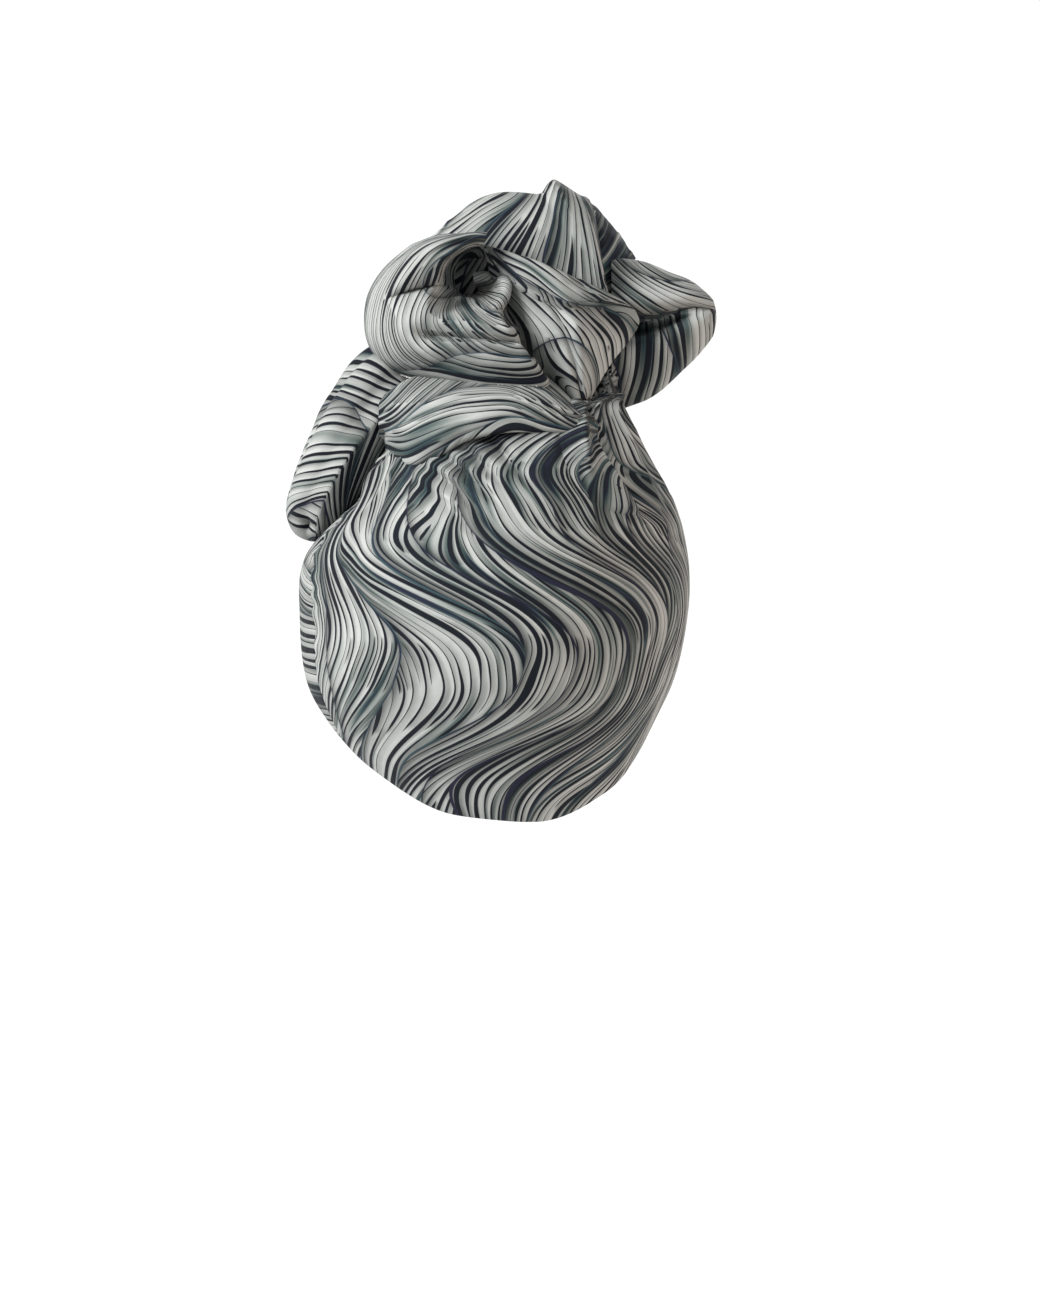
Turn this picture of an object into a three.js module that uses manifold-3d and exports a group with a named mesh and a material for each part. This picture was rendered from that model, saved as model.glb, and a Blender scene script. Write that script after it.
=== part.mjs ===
// A turban headwrap dressed on a head and knotted above the crown, in millimetres.
//
// Directions: +Z is up, the wearer faces -Y, and the wearer's left is +X. The origin is the centre of the
// head's girth, level with the brow hem, where the wrap sits on the head.
//
// The cap is two sewn panels, lofted through oval sections of the head. The folds and the knot are dressed
// to face the back of the head's left side, so they are laid out on three dressing axes: `side` runs to the
// right as an onlooker behind the wrap sees it, `out` comes towards that onlooker, and `up` is +Z.
import * as THREE from 'three';
import { mergeVertices } from 'three/addons/utils/BufferGeometryUtils.js';
import Module from 'manifold-3d';

// ---------------------------------------------------------------- driving dimensions
const CLOTH = 1.6; // wall of a hemmed or doubled layer of cloth
const CLEARANCE = 0.35; // kept between two pieces that lie on each other
const GIRTH_HEIGHT = 110; // from the nape hem up to the head's girth
const DRESSING_TURN = THREE.MathUtils.degToRad(12); // from straight behind, towards the wearer's left
const SEAM_ANGLE = 10; // degrees round the head, from the left ear towards the back
const SEAM_GAP = 0.35; // degrees left open between the two panels
const FOREHEAD_HEM = 112; // height of the brow edge above the nape edge
const HEM_SWEEP = 0.95; // how early the edge climbs from the nape towards the ears
const TIE = { x: -43, y: 26 }; // where the cloth is gathered into the knot

// Sections of the cap, from the nape up: height, half width, half depth, how far left and back the section's
// centre lies, and how far (0 to 1) that centre has moved from there to the tie.
const CAP_SECTIONS = [
  { z: 0, width: 54, depth: 64, left: 0, back: 3, lean: 0 },
  { z: 16, width: 62, depth: 76, left: 2, back: 5, lean: 0 },
  { z: 38, width: 75, depth: 90, left: 5, back: 6, lean: 0 },
  { z: 71, width: 90, depth: 104, left: 5, back: 8, lean: 0 },
  { z: 105, width: 95.5, depth: 110, left: 2, back: 8, lean: 0 },
  { z: 134, width: 95, depth: 109, left: 2, back: 8, lean: 0.01 },
  { z: 158, width: 84, depth: 99, left: 0, back: 8, lean: 0.08 },
  { z: 180, width: 68, depth: 82, left: 0, back: 8, lean: 0.14 },
  { z: 197, width: 53, depth: 64, left: 0, back: 8, lean: 0.27 },
  { z: 208, width: 37, depth: 42, left: 0, back: 8, lean: 0.52 },
  { z: 213.5, width: 15, depth: 16, left: 0, back: 8, lean: 1 },
];

// The pleat that laps over the back panel: its edge by height, and how far it stands off the cap.
const PLEAT_EDGE = [
  { z: 150, side: 76, lift: 0 },
  { z: 158, side: 69, lift: 2.5 },
  { z: 171, side: 58, lift: 4 },
  { z: 186, side: 50, lift: 4.5 },
  { z: 205, side: 45, lift: 4 },
];
const PLEAT_REACH = 26; // width over which the lifted pleat falls back to the cap

// The dent that the side roll presses into the cap: where it lies, its size and its depth.
const ROLL_DENT = { out: 8, up: 158, across: 30, upward: 24, depth: 8 };

// Gathers that run down the cap from the tie.
const GATHERS = { count: 9, depth: 1.8, top: 206, foot: 128 };

// The folded flap across the crown, from the tie to its free corner: heights of both edges, how far the
// upper edge and the belly of the flap come towards the onlooker, and how far the lower edge hangs off.
const CROWN_FOLD = [
  { side: 45, top: 213, bottom: 205, topOut: 30, belly: 56, hang: 3 },
  { side: 20, top: 214, bottom: 203, topOut: 42, belly: 66, hang: 4 },
  { side: -4, top: 214, bottom: 199, topOut: 42, belly: 66, hang: 5 },
  { side: -23, top: 216, bottom: 189, topOut: 34, belly: 61, hang: 6 },
  { side: -38, top: 217, bottom: 181, topOut: 25, belly: 55, hang: 5 },
  { side: -55, top: 211, bottom: 188, topOut: 16, belly: 36, hang: 4 },
];

// The roll that comes off the knot and lies down the side of the head: its centre line, the half width
// seen from behind, the half thickness, and the turn of the section about the centre line.
const SIDE_ROLL = [
  { side: -6, out: -22, up: 234, width: 12, thick: 12 },
  { side: -34, out: -16, up: 231, width: 15, thick: 15 },
  { side: -54, out: -6, up: 221, width: 18, thick: 18 },
  { side: -66, out: 4, up: 202, width: 20, thick: 19 },
  { side: -79, out: 12, up: 179, width: 18.5, thick: 18 },
  { side: -89, out: 10, up: 157, width: 16, thick: 16 },
  { side: -92, out: 6, up: 141, width: 13, thick: 13 },
];
const ROLL_CREASE = 0.16; // depth of the folded ridge's valley, as a share of the section

// The gathered neck of the knot: height, radius, and its centre along the dressing axes.
const NECK = [
  { up: 215.2, radius: 17, side: 47, out: 9 },
  { up: 219, radius: 16, side: 46, out: 8 },
  { up: 226, radius: 19, side: 42, out: 6 },
  { up: 238, radius: 27, side: 34, out: 2 },
  { up: 254, radius: 33, side: 24, out: -2 },
  { up: 270, radius: 29, side: 20, out: -6 },
  { up: 280, radius: 16, side: 20, out: -8 },
];
const NECK_RIBS = { count: 9, depth: 0.09, twist: 70 }; // depth as a share of the radius

// The rosette: a leaf of cloth that sweeps round a dark hollow. Sweep angle from the right, anticlockwise,
// the radii of the hollow and of the rim, and how far out the rim, the crest and the throat stand.
const ROSETTE_EYE = { side: -10, up: 268 };
const ROSETTE = [
  { sweep: 76, hollow: 15, rim: 23, rimOut: 20, crest: 36, throat: 26 },
  { sweep: 112, hollow: 11, rim: 22, rimOut: 14, crest: 41, throat: 22 },
  { sweep: 150, hollow: 11, rim: 38, rimOut: 3, crest: 44, throat: 20 },
  { sweep: 190, hollow: 11, rim: 55, rimOut: -7, crest: 46, throat: 22 },
  { sweep: 220, hollow: 10, rim: 60.5, rimOut: 2, crest: 50, throat: 26 },
  { sweep: 250, hollow: 8, rim: 51.5, rimOut: 30, crest: 56, throat: 32 },
  { sweep: 280, hollow: 10, rim: 52, rimOut: 52, crest: 62, throat: 38 },
  { sweep: 304, hollow: 16, rim: 62, rimOut: 56, crest: 63, throat: 48 },
];

// The centre leaf, from its folded upper edge down to its tip: where it starts and ends, both heights, and
// how far out its start, its belly and its end stand.
const CENTRE_LEAF = [
  { start: -5, startUp: 285, end: 69, endUp: 256, startOut: 20, belly: 34, endOut: 16 },
  { start: 0, startUp: 268, end: 71, endUp: 249, startOut: 22, belly: 44, endOut: 18 },
  { start: 8, startUp: 250, end: 66, endUp: 240, startOut: 25, belly: 50, endOut: 20 },
  { start: 18, startUp: 232, end: 58, endUp: 230, startOut: 31, belly: 50, endOut: 26 },
  { start: 27, startUp: 219, end: 51, endUp: 219, startOut: 36, belly: 48, endOut: 34 },
  { start: 36, startUp: 211, end: 46, endUp: 211, startOut: 42, belly: 45, endOut: 42 },
];

// The back leaf, a fan of cloth pleated from one point and doubled over behind: the angle of each pleat
// from the right, its reach, and how deep the fan is there.
const FAN_POINT = { side: 57, up: 259, out: -16 };
const BACK_LEAF = [
  { pleat: 60, reach: 26, depth: 24 },
  { pleat: 84, reach: 36, depth: 30 },
  { pleat: 104, reach: 53, depth: 34 },
  { pleat: 115, reach: 62, depth: 34 },
  { pleat: 124, reach: 61, depth: 34 },
  { pleat: 142, reach: 79, depth: 34 },
  { pleat: 154, reach: 90, depth: 32 },
  { pleat: 165, reach: 99, depth: 28 },
  { pleat: 176, reach: 101, depth: 22 },
];

// The wing: a flattened loop, open towards the knot. Distance to the side, both heights, and depth.
const WING = [
  { side: 58, bottom: 207, top: 281, depth: 24, out: -12 },
  { side: 74, bottom: 211, top: 279, depth: 25, out: -13 },
  { side: 86, bottom: 219, top: 275, depth: 25, out: -13 },
  { side: 97, bottom: 229, top: 271, depth: 23, out: -12 },
  { side: 106, bottom: 239, top: 264, depth: 17, out: -11 },
  { side: 110.5, bottom: 246, top: 259, depth: 9, out: -10 },
];
const WING_CREASE = { up: 0.2, depth: 0.34, width: 0.34 };

// ---------------------------------------------------------------- tables and frames
const mix = (a, b, t) => a + (b - a) * t;
const clamp01 = (t) => Math.min(1, Math.max(0, t));

function smooth(from, to, value) {
  const t = clamp01((value - from) / (to - from));
  return t * t * (3 - 2 * t);
}

// Every named column of a table at row position t, smoothly between its rows.
function rowAt(table, t) {
  const last = table.length - 1;
  const place = Math.min(Math.max(t, 0), last);
  const i = Math.min(Math.floor(place), last - 1);
  const f = place - i;
  const before = table[Math.max(i - 1, 0)];
  const after = table[Math.min(i + 2, last)];
  const row = {};
  for (const key of Object.keys(table[0])) {
    const [a, b] = [table[i][key], table[i + 1][key]];
    const leaving = i > 0 ? (b - before[key]) / 2 : b - a;
    const arriving = i + 2 <= last ? (after[key] - a) / 2 : b - a;
    const cubic = 2 * (a - b) + leaving + arriving;
    const square = 3 * (b - a) - 2 * leaving - arriving;
    row[key] = ((cubic * f + square) * f + leaving) * f + a;
  }
  return row;
}

// The row position at which a rising or falling column reaches a value.
function rowWhere(table, key, value) {
  const rising = table[table.length - 1][key] > table[0][key];
  let [low, high] = [0, table.length - 1];
  for (let step = 0; step < 30; step += 1) {
    const middle = (low + high) / 2;
    if (rowAt(table, middle)[key] < value === rising) low = middle;
    else high = middle;
  }
  return (low + high) / 2;
}

function dressed(side, out, up) {
  const [c, s] = [Math.cos(DRESSING_TURN), Math.sin(DRESSING_TURN)];
  return new THREE.Vector3(-c * side + s * out, s * side + c * out, up);
}

function dressingOf(point) {
  const [c, s] = [Math.cos(DRESSING_TURN), Math.sin(DRESSING_TURN)];
  return { side: -c * point.x + s * point.y, out: s * point.x + c * point.y, up: point.z };
}

function gridOf(rows, columns, pointAt) {
  const grid = [];
  for (let i = 0; i <= rows; i += 1) {
    const row = [];
    for (let j = 0; j <= columns; j += 1) row.push(pointAt(i / rows, j / columns));
    grid.push(row);
  }
  return grid;
}

// ---------------------------------------------------------------- cloth walls
function gridNormals(grid, loop) {
  const [rows, columns] = [grid.length, grid[0].length];
  const at = (i, j) => grid[Math.min(Math.max(i, 0), rows - 1)][
    loop ? (j + columns) % columns : Math.min(Math.max(j, 0), columns - 1)];
  return grid.map((row, i) => row.map((_, j) => {
    const along = at(i + 1, j).clone().sub(at(i - 1, j));
    const across = at(i, j + 1).clone().sub(at(i, j - 1));
    return along.cross(across).normalize();
  }));
}

// A closed wall on a grid of points: one skin on each side of it, joined along every open edge. With
// `loop` the last column meets the first.
function wallOn(grid, { loop = false, spread = 0 } = {}) {
  const half = CLOTH / 2 + spread;
  const normals = gridNormals(grid, loop);
  const [rows, columns] = [grid.length, grid[0].length];
  const positions = [];
  for (const sign of [1, -1]) {
    grid.forEach((row, i) => row.forEach((point, j) => {
      positions.push(...point.clone().addScaledVector(normals[i][j], sign * half).toArray());
    }));
  }
  const front = (i, j) => i * columns + (j % columns);
  const back = (i, j) => rows * columns + front(i, j);
  const indices = [];
  const quad = (a, b, c, d) => indices.push(a, b, c, a, c, d);
  const lastColumn = loop ? columns : columns - 1;
  for (let i = 0; i < rows - 1; i += 1) {
    for (let j = 0; j < lastColumn; j += 1) {
      quad(front(i, j), front(i + 1, j), front(i + 1, j + 1), front(i, j + 1));
      quad(back(i, j), back(i, j + 1), back(i + 1, j + 1), back(i + 1, j));
    }
  }
  for (let j = 0; j < lastColumn; j += 1) {
    quad(front(0, j), front(0, j + 1), back(0, j + 1), back(0, j));
    quad(front(rows - 1, j + 1), front(rows - 1, j), back(rows - 1, j), back(rows - 1, j + 1));
  }
  for (let i = 0; i < rows - 1 && !loop; i += 1) {
    quad(front(i + 1, 0), front(i, 0), back(i, 0), back(i + 1, 0));
    quad(front(i, columns - 1), front(i + 1, columns - 1), back(i + 1, columns - 1), back(i, columns - 1));
  }
  return closedGeometry(positions, indices);
}

function signedVolume(positions, indices) {
  const corner = (k) => new THREE.Vector3().fromArray(positions, 3 * indices[k]);
  let total = 0;
  for (let k = 0; k < indices.length; k += 3) {
    total += corner(k).dot(corner(k + 1).cross(corner(k + 2)));
  }
  return total / 6;
}

function closedGeometry(positions, indices) {
  const turned = signedVolume(positions, indices) < 0;
  const geometry = new THREE.BufferGeometry();
  geometry.setAttribute('position', new THREE.Float32BufferAttribute(positions, 3));
  geometry.setIndex(turned ? [...indices].reverse() : indices);
  return geometry;
}

// ---------------------------------------------------------------- the cap
const TOP_ROW = CAP_SECTIONS.length - 1;

function capCentre(section) {
  return {
    x: mix(section.left, TIE.x, section.lean),
    y: mix(section.back, TIE.y, section.lean),
  };
}

function hemHeight(angle) {
  const towardsBrow = (1 - Math.sin(angle)) / 2;
  return FOREHEAD_HEM * smooth(0.02, 1, towardsBrow ** HEM_SWEEP);
}

// The pleat's step and the gathers under the tie, as a distance off the smooth cap.
function capRelief(point, angle) {
  const { side, out, up } = dressingOf(point);
  const window = smooth(GATHERS.foot, 170, up) * smooth(GATHERS.top + 6, GATHERS.top - 14, up);
  const dent = ((out - ROLL_DENT.out) / ROLL_DENT.across) ** 2 + ((up - ROLL_DENT.up) / ROLL_DENT.upward) ** 2;
  let relief = GATHERS.depth * window * Math.sin(GATHERS.count * angle);
  if (side < 0) relief -= ROLL_DENT.depth * Math.exp(-dent);
  if (out > 0 && up > PLEAT_EDGE[0].z) {
    const edge = rowAt(PLEAT_EDGE, rowWhere(PLEAT_EDGE, 'z', up));
    const inside = edge.side - side;
    const lap = inside > 0 ? 1 - smooth(0, PLEAT_REACH, inside) : smooth(-3, 0, inside);
    relief += edge.lift * lap * smooth(GATHERS.top + 6, GATHERS.top - 8, up);
  }
  return relief;
}

function capPoint(row, angle) {
  const section = rowAt(CAP_SECTIONS, row);
  const centre = capCentre(section);
  const flat = new THREE.Vector3(
    centre.x + section.width * Math.cos(angle),
    centre.y + section.depth * Math.sin(angle),
    section.z,
  );
  const relief = capRelief(flat, angle);
  flat.x += relief * Math.cos(angle);
  flat.y += relief * Math.sin(angle);
  return flat;
}

// Row positions spaced evenly along the cap's side, from a starting row to the tie.
function evenRow(start, share) {
  const steps = 60;
  const lengths = [0];
  let before = rowAt(CAP_SECTIONS, start);
  for (let k = 1; k <= steps; k += 1) {
    const here = rowAt(CAP_SECTIONS, mix(start, TOP_ROW, k / steps));
    lengths.push(lengths[k - 1] + Math.hypot(here.z - before.z, here.width - before.width));
    before = here;
  }
  const wanted = share * lengths[steps];
  const k = Math.max(1, lengths.findIndex((length) => length >= wanted - 1e-9));
  const inside = (wanted - lengths[k - 1]) / (lengths[k] - lengths[k - 1]);
  return mix(start, TOP_ROW, (k - 1 + inside) / steps);
}

function capPanel(fromAngle, toAngle, rows, columns) {
  const grid = gridOf(columns, rows, (across, upward) => {
    const angle = THREE.MathUtils.degToRad(mix(fromAngle, toAngle, across));
    const start = rowWhere(CAP_SECTIONS, 'z', hemHeight(angle));
    return capPoint(evenRow(start, upward), angle);
  });
  return grid;
}

function backPanel() {
  return capPanel(SEAM_ANGLE + SEAM_GAP, 180 - SEAM_ANGLE - SEAM_GAP, 18, 30);
}

function frontPanel() {
  return capPanel(-180 - SEAM_ANGLE + SEAM_GAP, SEAM_ANGLE - SEAM_GAP, 13, 20);
}

// ---------------------------------------------------------------- the folds
// How far out the cap's back stands at a place seen from behind.
function capOut(side, up) {
  const section = rowAt(CAP_SECTIONS, rowWhere(CAP_SECTIONS, 'z', up));
  const centre = dressingOf(new THREE.Vector3(capCentre(section).x, capCentre(section).y, up));
  const [c, s] = [Math.cos(DRESSING_TURN), Math.sin(DRESSING_TURN)];
  const [w, d] = [section.width ** -2, section.depth ** -2];
  const offset = side - centre.side;
  const a = s * s * w + c * c * d;
  const b = 2 * offset * s * c * (d - w);
  const rest = offset * offset * (c * c * w + s * s * d) - 1;
  const inside = Math.max(b * b - 4 * a * rest, 0);
  return centre.out + (-b + Math.sqrt(inside)) / (2 * a);
}

function crownFold() {
  return gridOf(16, 7, (along, down) => {
    const row = rowAt(CROWN_FOLD, along * (CROWN_FOLD.length - 1));
    const up = mix(row.top, row.bottom, down);
    const hem = capOut(row.side, row.bottom) + row.hang;
    const over = Math.sin((Math.PI / 2) * Math.min(1, down * 1.3));
    const belly = mix(row.topOut, Math.max(row.belly, hem - 2), over);
    return dressed(row.side, mix(belly, hem, smooth(0.5, 1, down)), up);
  });
}

function sideRoll() {
  const last = SIDE_ROLL.length - 1;
  const spine = (t) => {
    const row = rowAt(SIDE_ROLL, t * last);
    return dressed(row.side, row.out, row.up);
  };
  const rounds = 14;
  return gridOf(15, rounds - 1, (along, around) => {
    const row = rowAt(SIDE_ROLL, along * last);
    const tangent = spine(Math.min(1, along + 0.01)).sub(spine(Math.max(0, along - 0.01))).normalize();
    const outward = dressed(0, 1, 0);
    const across = tangent.clone().cross(outward).normalize();
    const turn = 2 * Math.PI * around * ((rounds - 1) / rounds);
    const crease = 1 - ROLL_CREASE * Math.exp(-(((turn - 1.2) / 0.35) ** 2));
    const closing = Math.sqrt(1 - 0.72 * smooth(0.86, 1, along) ** 2);
    const facing = tangent.clone().cross(across).normalize();
    return spine(along)
      .addScaledVector(across, row.width * closing * crease * Math.cos(turn))
      .addScaledVector(facing, row.thick * closing * crease * Math.sin(turn));
  });
}

// ---------------------------------------------------------------- the knot
function neckSolid() {
  const rounds = 27;
  const rows = 8;
  const positions = [];
  const indices = [];
  const centreOf = (row) => dressed(row.side, row.out, row.up);
  for (let i = 0; i <= rows; i += 1) {
    const row = rowAt(NECK, (i / rows) * (NECK.length - 1));
    for (let j = 0; j < rounds; j += 1) {
      const turn = (2 * Math.PI * j) / rounds;
      const twist = THREE.MathUtils.degToRad(NECK_RIBS.twist) * (i / rows);
      const ribs = NECK_RIBS.depth * Math.cos(NECK_RIBS.count * (turn + twist));
      const radius = row.radius * (1 + ribs);
      const point = centreOf(row);
      positions.push(point.x + radius * Math.cos(turn), point.y + radius * Math.sin(turn), point.z);
      const next = (j + 1) % rounds;
      if (i > 0) {
        const [low, high] = [(i - 1) * rounds, i * rounds];
        indices.push(low + j, low + next, high + next, low + j, high + next, high + j);
      }
    }
  }
  for (const [ring, row] of [[0, NECK[0]], [rows, NECK[NECK.length - 1]]]) {
    const hub = positions.length / 3;
    positions.push(...centreOf(row).toArray());
    for (let j = 0; j < rounds; j += 1) {
      const [a, b] = [ring * rounds + j, ring * rounds + ((j + 1) % rounds)];
      indices.push(...(ring === 0 ? [hub, b, a] : [hub, a, b]));
    }
  }
  return closedGeometry(positions, indices);
}

function rosette() {
  return gridOf(22, 9, (sweeping, inward) => {
    const row = rowAt(ROSETTE, sweeping * (ROSETTE.length - 1));
    const sweep = THREE.MathUtils.degToRad(row.sweep);
    const radius = mix(row.rim, row.hollow, inward ** 1.25);
    const rise = Math.sin(Math.PI * Math.min(0.5, inward * 0.9));
    const out = mix(mix(row.rimOut, row.crest, rise), row.throat, smooth(0.62, 1, inward));
    return dressed(
      ROSETTE_EYE.side + radius * Math.cos(sweep),
      out,
      ROSETTE_EYE.up + radius * Math.sin(sweep),
    );
  });
}

function centreLeaf() {
  return gridOf(11, 10, (down, across) => {
    const row = rowAt(CENTRE_LEAF, down * (CENTRE_LEAF.length - 1));
    const arch = Math.sin(Math.PI * across) ** 0.8;
    const edge = mix(row.startOut, row.endOut, across);
    return dressed(
      mix(row.start, row.end, across),
      mix(edge, row.belly, arch),
      mix(row.startUp, row.endUp, across) + 3 * arch * (1 - down),
    );
  });
}

function backLeaf() {
  return gridOf(18, 13, (along, over) => {
    const row = rowAt(BACK_LEAF, along * (BACK_LEAF.length - 1));
    const pleat = THREE.MathUtils.degToRad(row.pleat);
    const turn = Math.PI * mix(0.1, 0.9, over);
    const reach = row.reach * Math.sin(turn) ** 0.9;
    return dressed(
      FAN_POINT.side + reach * Math.cos(pleat),
      FAN_POINT.out + row.depth * Math.cos(turn),
      FAN_POINT.up + reach * Math.sin(pleat),
    );
  });
}

function wing() {
  const rounds = 16;
  return gridOf(10, rounds - 1, (along, around) => {
    const row = rowAt(WING, along * (WING.length - 1));
    const turn = 2 * Math.PI * around * ((rounds - 1) / rounds);
    const [lift, outward] = [Math.sin(turn), Math.cos(turn)];
    const crease = outward > 0
      ? WING_CREASE.depth * Math.exp(-(((lift - WING_CREASE.up) / WING_CREASE.width) ** 2))
      : 0;
    return dressed(
      row.side,
      row.out + row.depth * outward * (1 - crease),
      mix(row.bottom, row.top, (lift + 1) / 2),
    );
  });
}

// ---------------------------------------------------------------- clearances
const library = await Module();
library.setup();

function toManifold(geometry) {
  const merged = mergeVertices(geometry, 1e-5);
  return new library.Manifold(new library.Mesh({
    numProp: 3,
    vertProperties: new Float32Array(merged.attributes.position.array),
    triVerts: new Uint32Array(merged.index.array),
  }));
}

function toGeometry(solid) {
  const mesh = solid.getMesh();
  const geometry = new THREE.BufferGeometry();
  geometry.setAttribute('position', new THREE.Float32BufferAttribute(mesh.vertProperties, 3));
  geometry.setIndex([...mesh.triVerts]);
  return geometry;
}

function largestOf(solid) {
  return solid.decompose().reduce((best, part) => (part.volume() > best.volume() ? part : best));
}

// A wall, and the fuller wall that holds its clearance too.
function wallAndRoom(grid, loop = false) {
  const wall = toManifold(wallOn(grid, { loop }));
  const room = toManifold(wallOn(grid, { loop, spread: CLEARANCE }));
  return { wall, room };
}

// The piece, cut back so that it stays clear of its neighbours.
function clearOf(solid, ...neighbours) {
  const rest = neighbours.reduce((left, { wall, room }) => left.subtract(room).subtract(wall), solid);
  return largestOf(rest);
}

// ---------------------------------------------------------------- the headwrap
const CLOTH_COLOUR = 0x9aa09c;
const SHADED_CLOTH = 0x6d736f;

function clothMesh(name, solid, colour = CLOTH_COLOUR) {
  const material = new THREE.MeshStandardMaterial({ color: colour, roughness: 0.85, metalness: 0 });
  const mesh = new THREE.Mesh(toGeometry(solid), material);
  mesh.name = name;
  return mesh;
}

const back = wallAndRoom(backPanel());
const front = wallAndRoom(frontPanel());
const crown = wallAndRoom(crownFold());
const roll = wallAndRoom(sideRoll(), true);
const swept = wallAndRoom(rosette());
const centre = wallAndRoom(centreLeaf());
const fan = wallAndRoom(backLeaf());
const loop = wallAndRoom(wing(), true);
const neck = toManifold(neckSolid());

const headwrap = new THREE.Group();
headwrap.name = 'turban_headwrap';
headwrap.position.z = -GIRTH_HEIGHT;
headwrap.add(
  clothMesh('back_panel', back.wall),
  clothMesh('front_panel', front.wall),
  clothMesh('crown_fold', clearOf(crown.wall, back, front)),
  clothMesh('side_roll', clearOf(roll.wall, back, front, crown)),
  clothMesh('rosette_leaf', clearOf(swept.wall, back, crown, roll)),
  clothMesh('centre_leaf', clearOf(centre.wall, back, crown, swept)),
  clothMesh('back_leaf', clearOf(fan.wall, swept, centre, roll, crown)),
  clothMesh('wing_leaf', clearOf(loop.wall, centre, fan, back, front)),
  clothMesh('knot_neck', clearOf(neck, back, front, crown, roll, swept, centre, fan, loop), SHADED_CLOTH),
);

export default headwrap;
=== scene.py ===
"""A knotted turban headwrap in printed cloth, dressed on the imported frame.

Lengths in the tables are millimetres above the nape edge and along the three dressing axes: `side` runs to
the right as an onlooker behind the wrap sees it, `out` comes towards that onlooker, and `up` is +Z.
"""
import logging
import math
from dataclasses import dataclass, field
from enum import Enum

import bpy
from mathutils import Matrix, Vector
import numpy as np


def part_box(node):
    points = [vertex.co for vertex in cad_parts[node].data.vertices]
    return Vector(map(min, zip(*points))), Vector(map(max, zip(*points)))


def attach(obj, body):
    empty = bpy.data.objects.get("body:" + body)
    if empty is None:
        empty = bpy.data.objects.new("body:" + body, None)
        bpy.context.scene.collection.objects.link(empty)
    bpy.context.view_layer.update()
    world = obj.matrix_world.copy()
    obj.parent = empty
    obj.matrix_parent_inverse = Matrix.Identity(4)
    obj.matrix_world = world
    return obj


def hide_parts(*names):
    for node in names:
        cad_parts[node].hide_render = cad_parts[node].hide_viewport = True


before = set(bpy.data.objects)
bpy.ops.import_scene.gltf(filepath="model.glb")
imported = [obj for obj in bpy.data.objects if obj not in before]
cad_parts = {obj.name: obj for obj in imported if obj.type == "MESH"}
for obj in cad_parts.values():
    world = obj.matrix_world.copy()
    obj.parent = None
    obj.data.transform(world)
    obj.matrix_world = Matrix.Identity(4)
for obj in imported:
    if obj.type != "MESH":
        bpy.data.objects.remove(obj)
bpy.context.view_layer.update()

LOG = logging.getLogger("headwrap")
MM = 0.001
NAPE = float(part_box("back_panel")[0][2])
DRESSING_TURN = math.radians(12.0)
TIE = (-43.0, 26.0)
PRINT_MAP = "Print"
SPREAD = "print_spread"


# ------------------------------------------------------------------ tables, frames and noise
@dataclass(frozen=True)
class Table:
    """Rows of named columns, read smoothly at places between the rows."""

    columns: tuple[str, ...]
    rows: tuple[tuple[float, ...], ...]

    @property
    def last(self) -> int:
        """Place of the last row.

        Returns:
            Place of the last row.
        """
        return len(self.rows) - 1

    def at(self, place: np.ndarray) -> dict[str, np.ndarray]:
        """Read every column.

        Args:
            place: Row positions, from 0 to the last row.

        Returns:
            The columns by name, each shaped like `place`.
        """
        rows = np.asarray(self.rows, float)
        place = np.clip(np.asarray(place, float), 0.0, self.last)
        i = np.minimum(place.astype(int), self.last - 1)
        f = (place - i)[..., None]
        a, b = rows[i], rows[i + 1]
        before, after = rows[np.maximum(i - 1, 0)], rows[np.minimum(i + 2, self.last)]
        leaving = np.where((i > 0)[..., None], (b - before) / 2, b - a)
        arriving = np.where((i + 2 <= self.last)[..., None], (after - a) / 2, b - a)
        cubic = 2 * (a - b) + leaving + arriving
        square = 3 * (b - a) - 2 * leaving - arriving
        values = ((cubic * f + square) * f + leaving) * f + a
        return {name: values[..., k] for k, name in enumerate(self.columns)}

    def where(self, column: str, value: np.ndarray) -> np.ndarray:
        """Find the place at which a steadily changing column reaches a value.

        Args:
            column: Name of the column.
            value: Values to find.

        Returns:
            Row positions shaped like `value`.
        """
        places = np.linspace(0, self.last, 40 * self.last + 1)
        readings = self.at(places)[column]
        if readings[-1] < readings[0]:
            places, readings = places[::-1], readings[::-1]
        return np.interp(value, readings, places)


def smooth(low: float, high: float, value: np.ndarray) -> np.ndarray:
    """Ease from 0 to 1 while value goes from low to high.

    Args:
        low: Value where the ease starts.
        high: Value where it ends.
        value: The values.

    Returns:
        0 below the start, 1 above the end, eased between.
    """
    t = np.clip((value - low) / (high - low), 0.0, 1.0)
    return t * t * (3 - 2 * t)


def mix(a: np.ndarray, b: np.ndarray, t: np.ndarray) -> np.ndarray:
    """Blend from a to b as t goes from 0 to 1.

    Args:
        a: Value at 0.
        b: Value at 1.
        t: The share of b.

    Returns:
        The blend.
    """
    return a + (b - a) * t


def bump(value: np.ndarray, centre: float, width: float) -> np.ndarray:
    """A round hump of height 1 about a centre.

    Args:
        value: The values.
        centre: Where the bump is 1.
        width: How far it reaches.

    Returns:
        The bump's height at each value.
    """
    return np.exp(-(((value - centre) / width) ** 2))


def lattice(cell: np.ndarray, seed: int) -> np.ndarray:
    """A fixed random number in -1..1 for each whole-numbered cell.

    Args:
        cell: Whole-number cells.
        seed: Which field of numbers.

    Returns:
        A number from 0 to 1 for each cell.
    """
    mixed = (cell * np.array([374761393, 668265263, 1442695041])).sum(-1) + seed * 974634777
    mixed = mixed & 0xFFFFFFFF
    mixed = ((mixed ^ (mixed >> 13)) * 1274126177) & 0xFFFFFFFF
    return ((mixed ^ (mixed >> 16)) & 0xFFFF) / 32767.5 - 1.0


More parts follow.
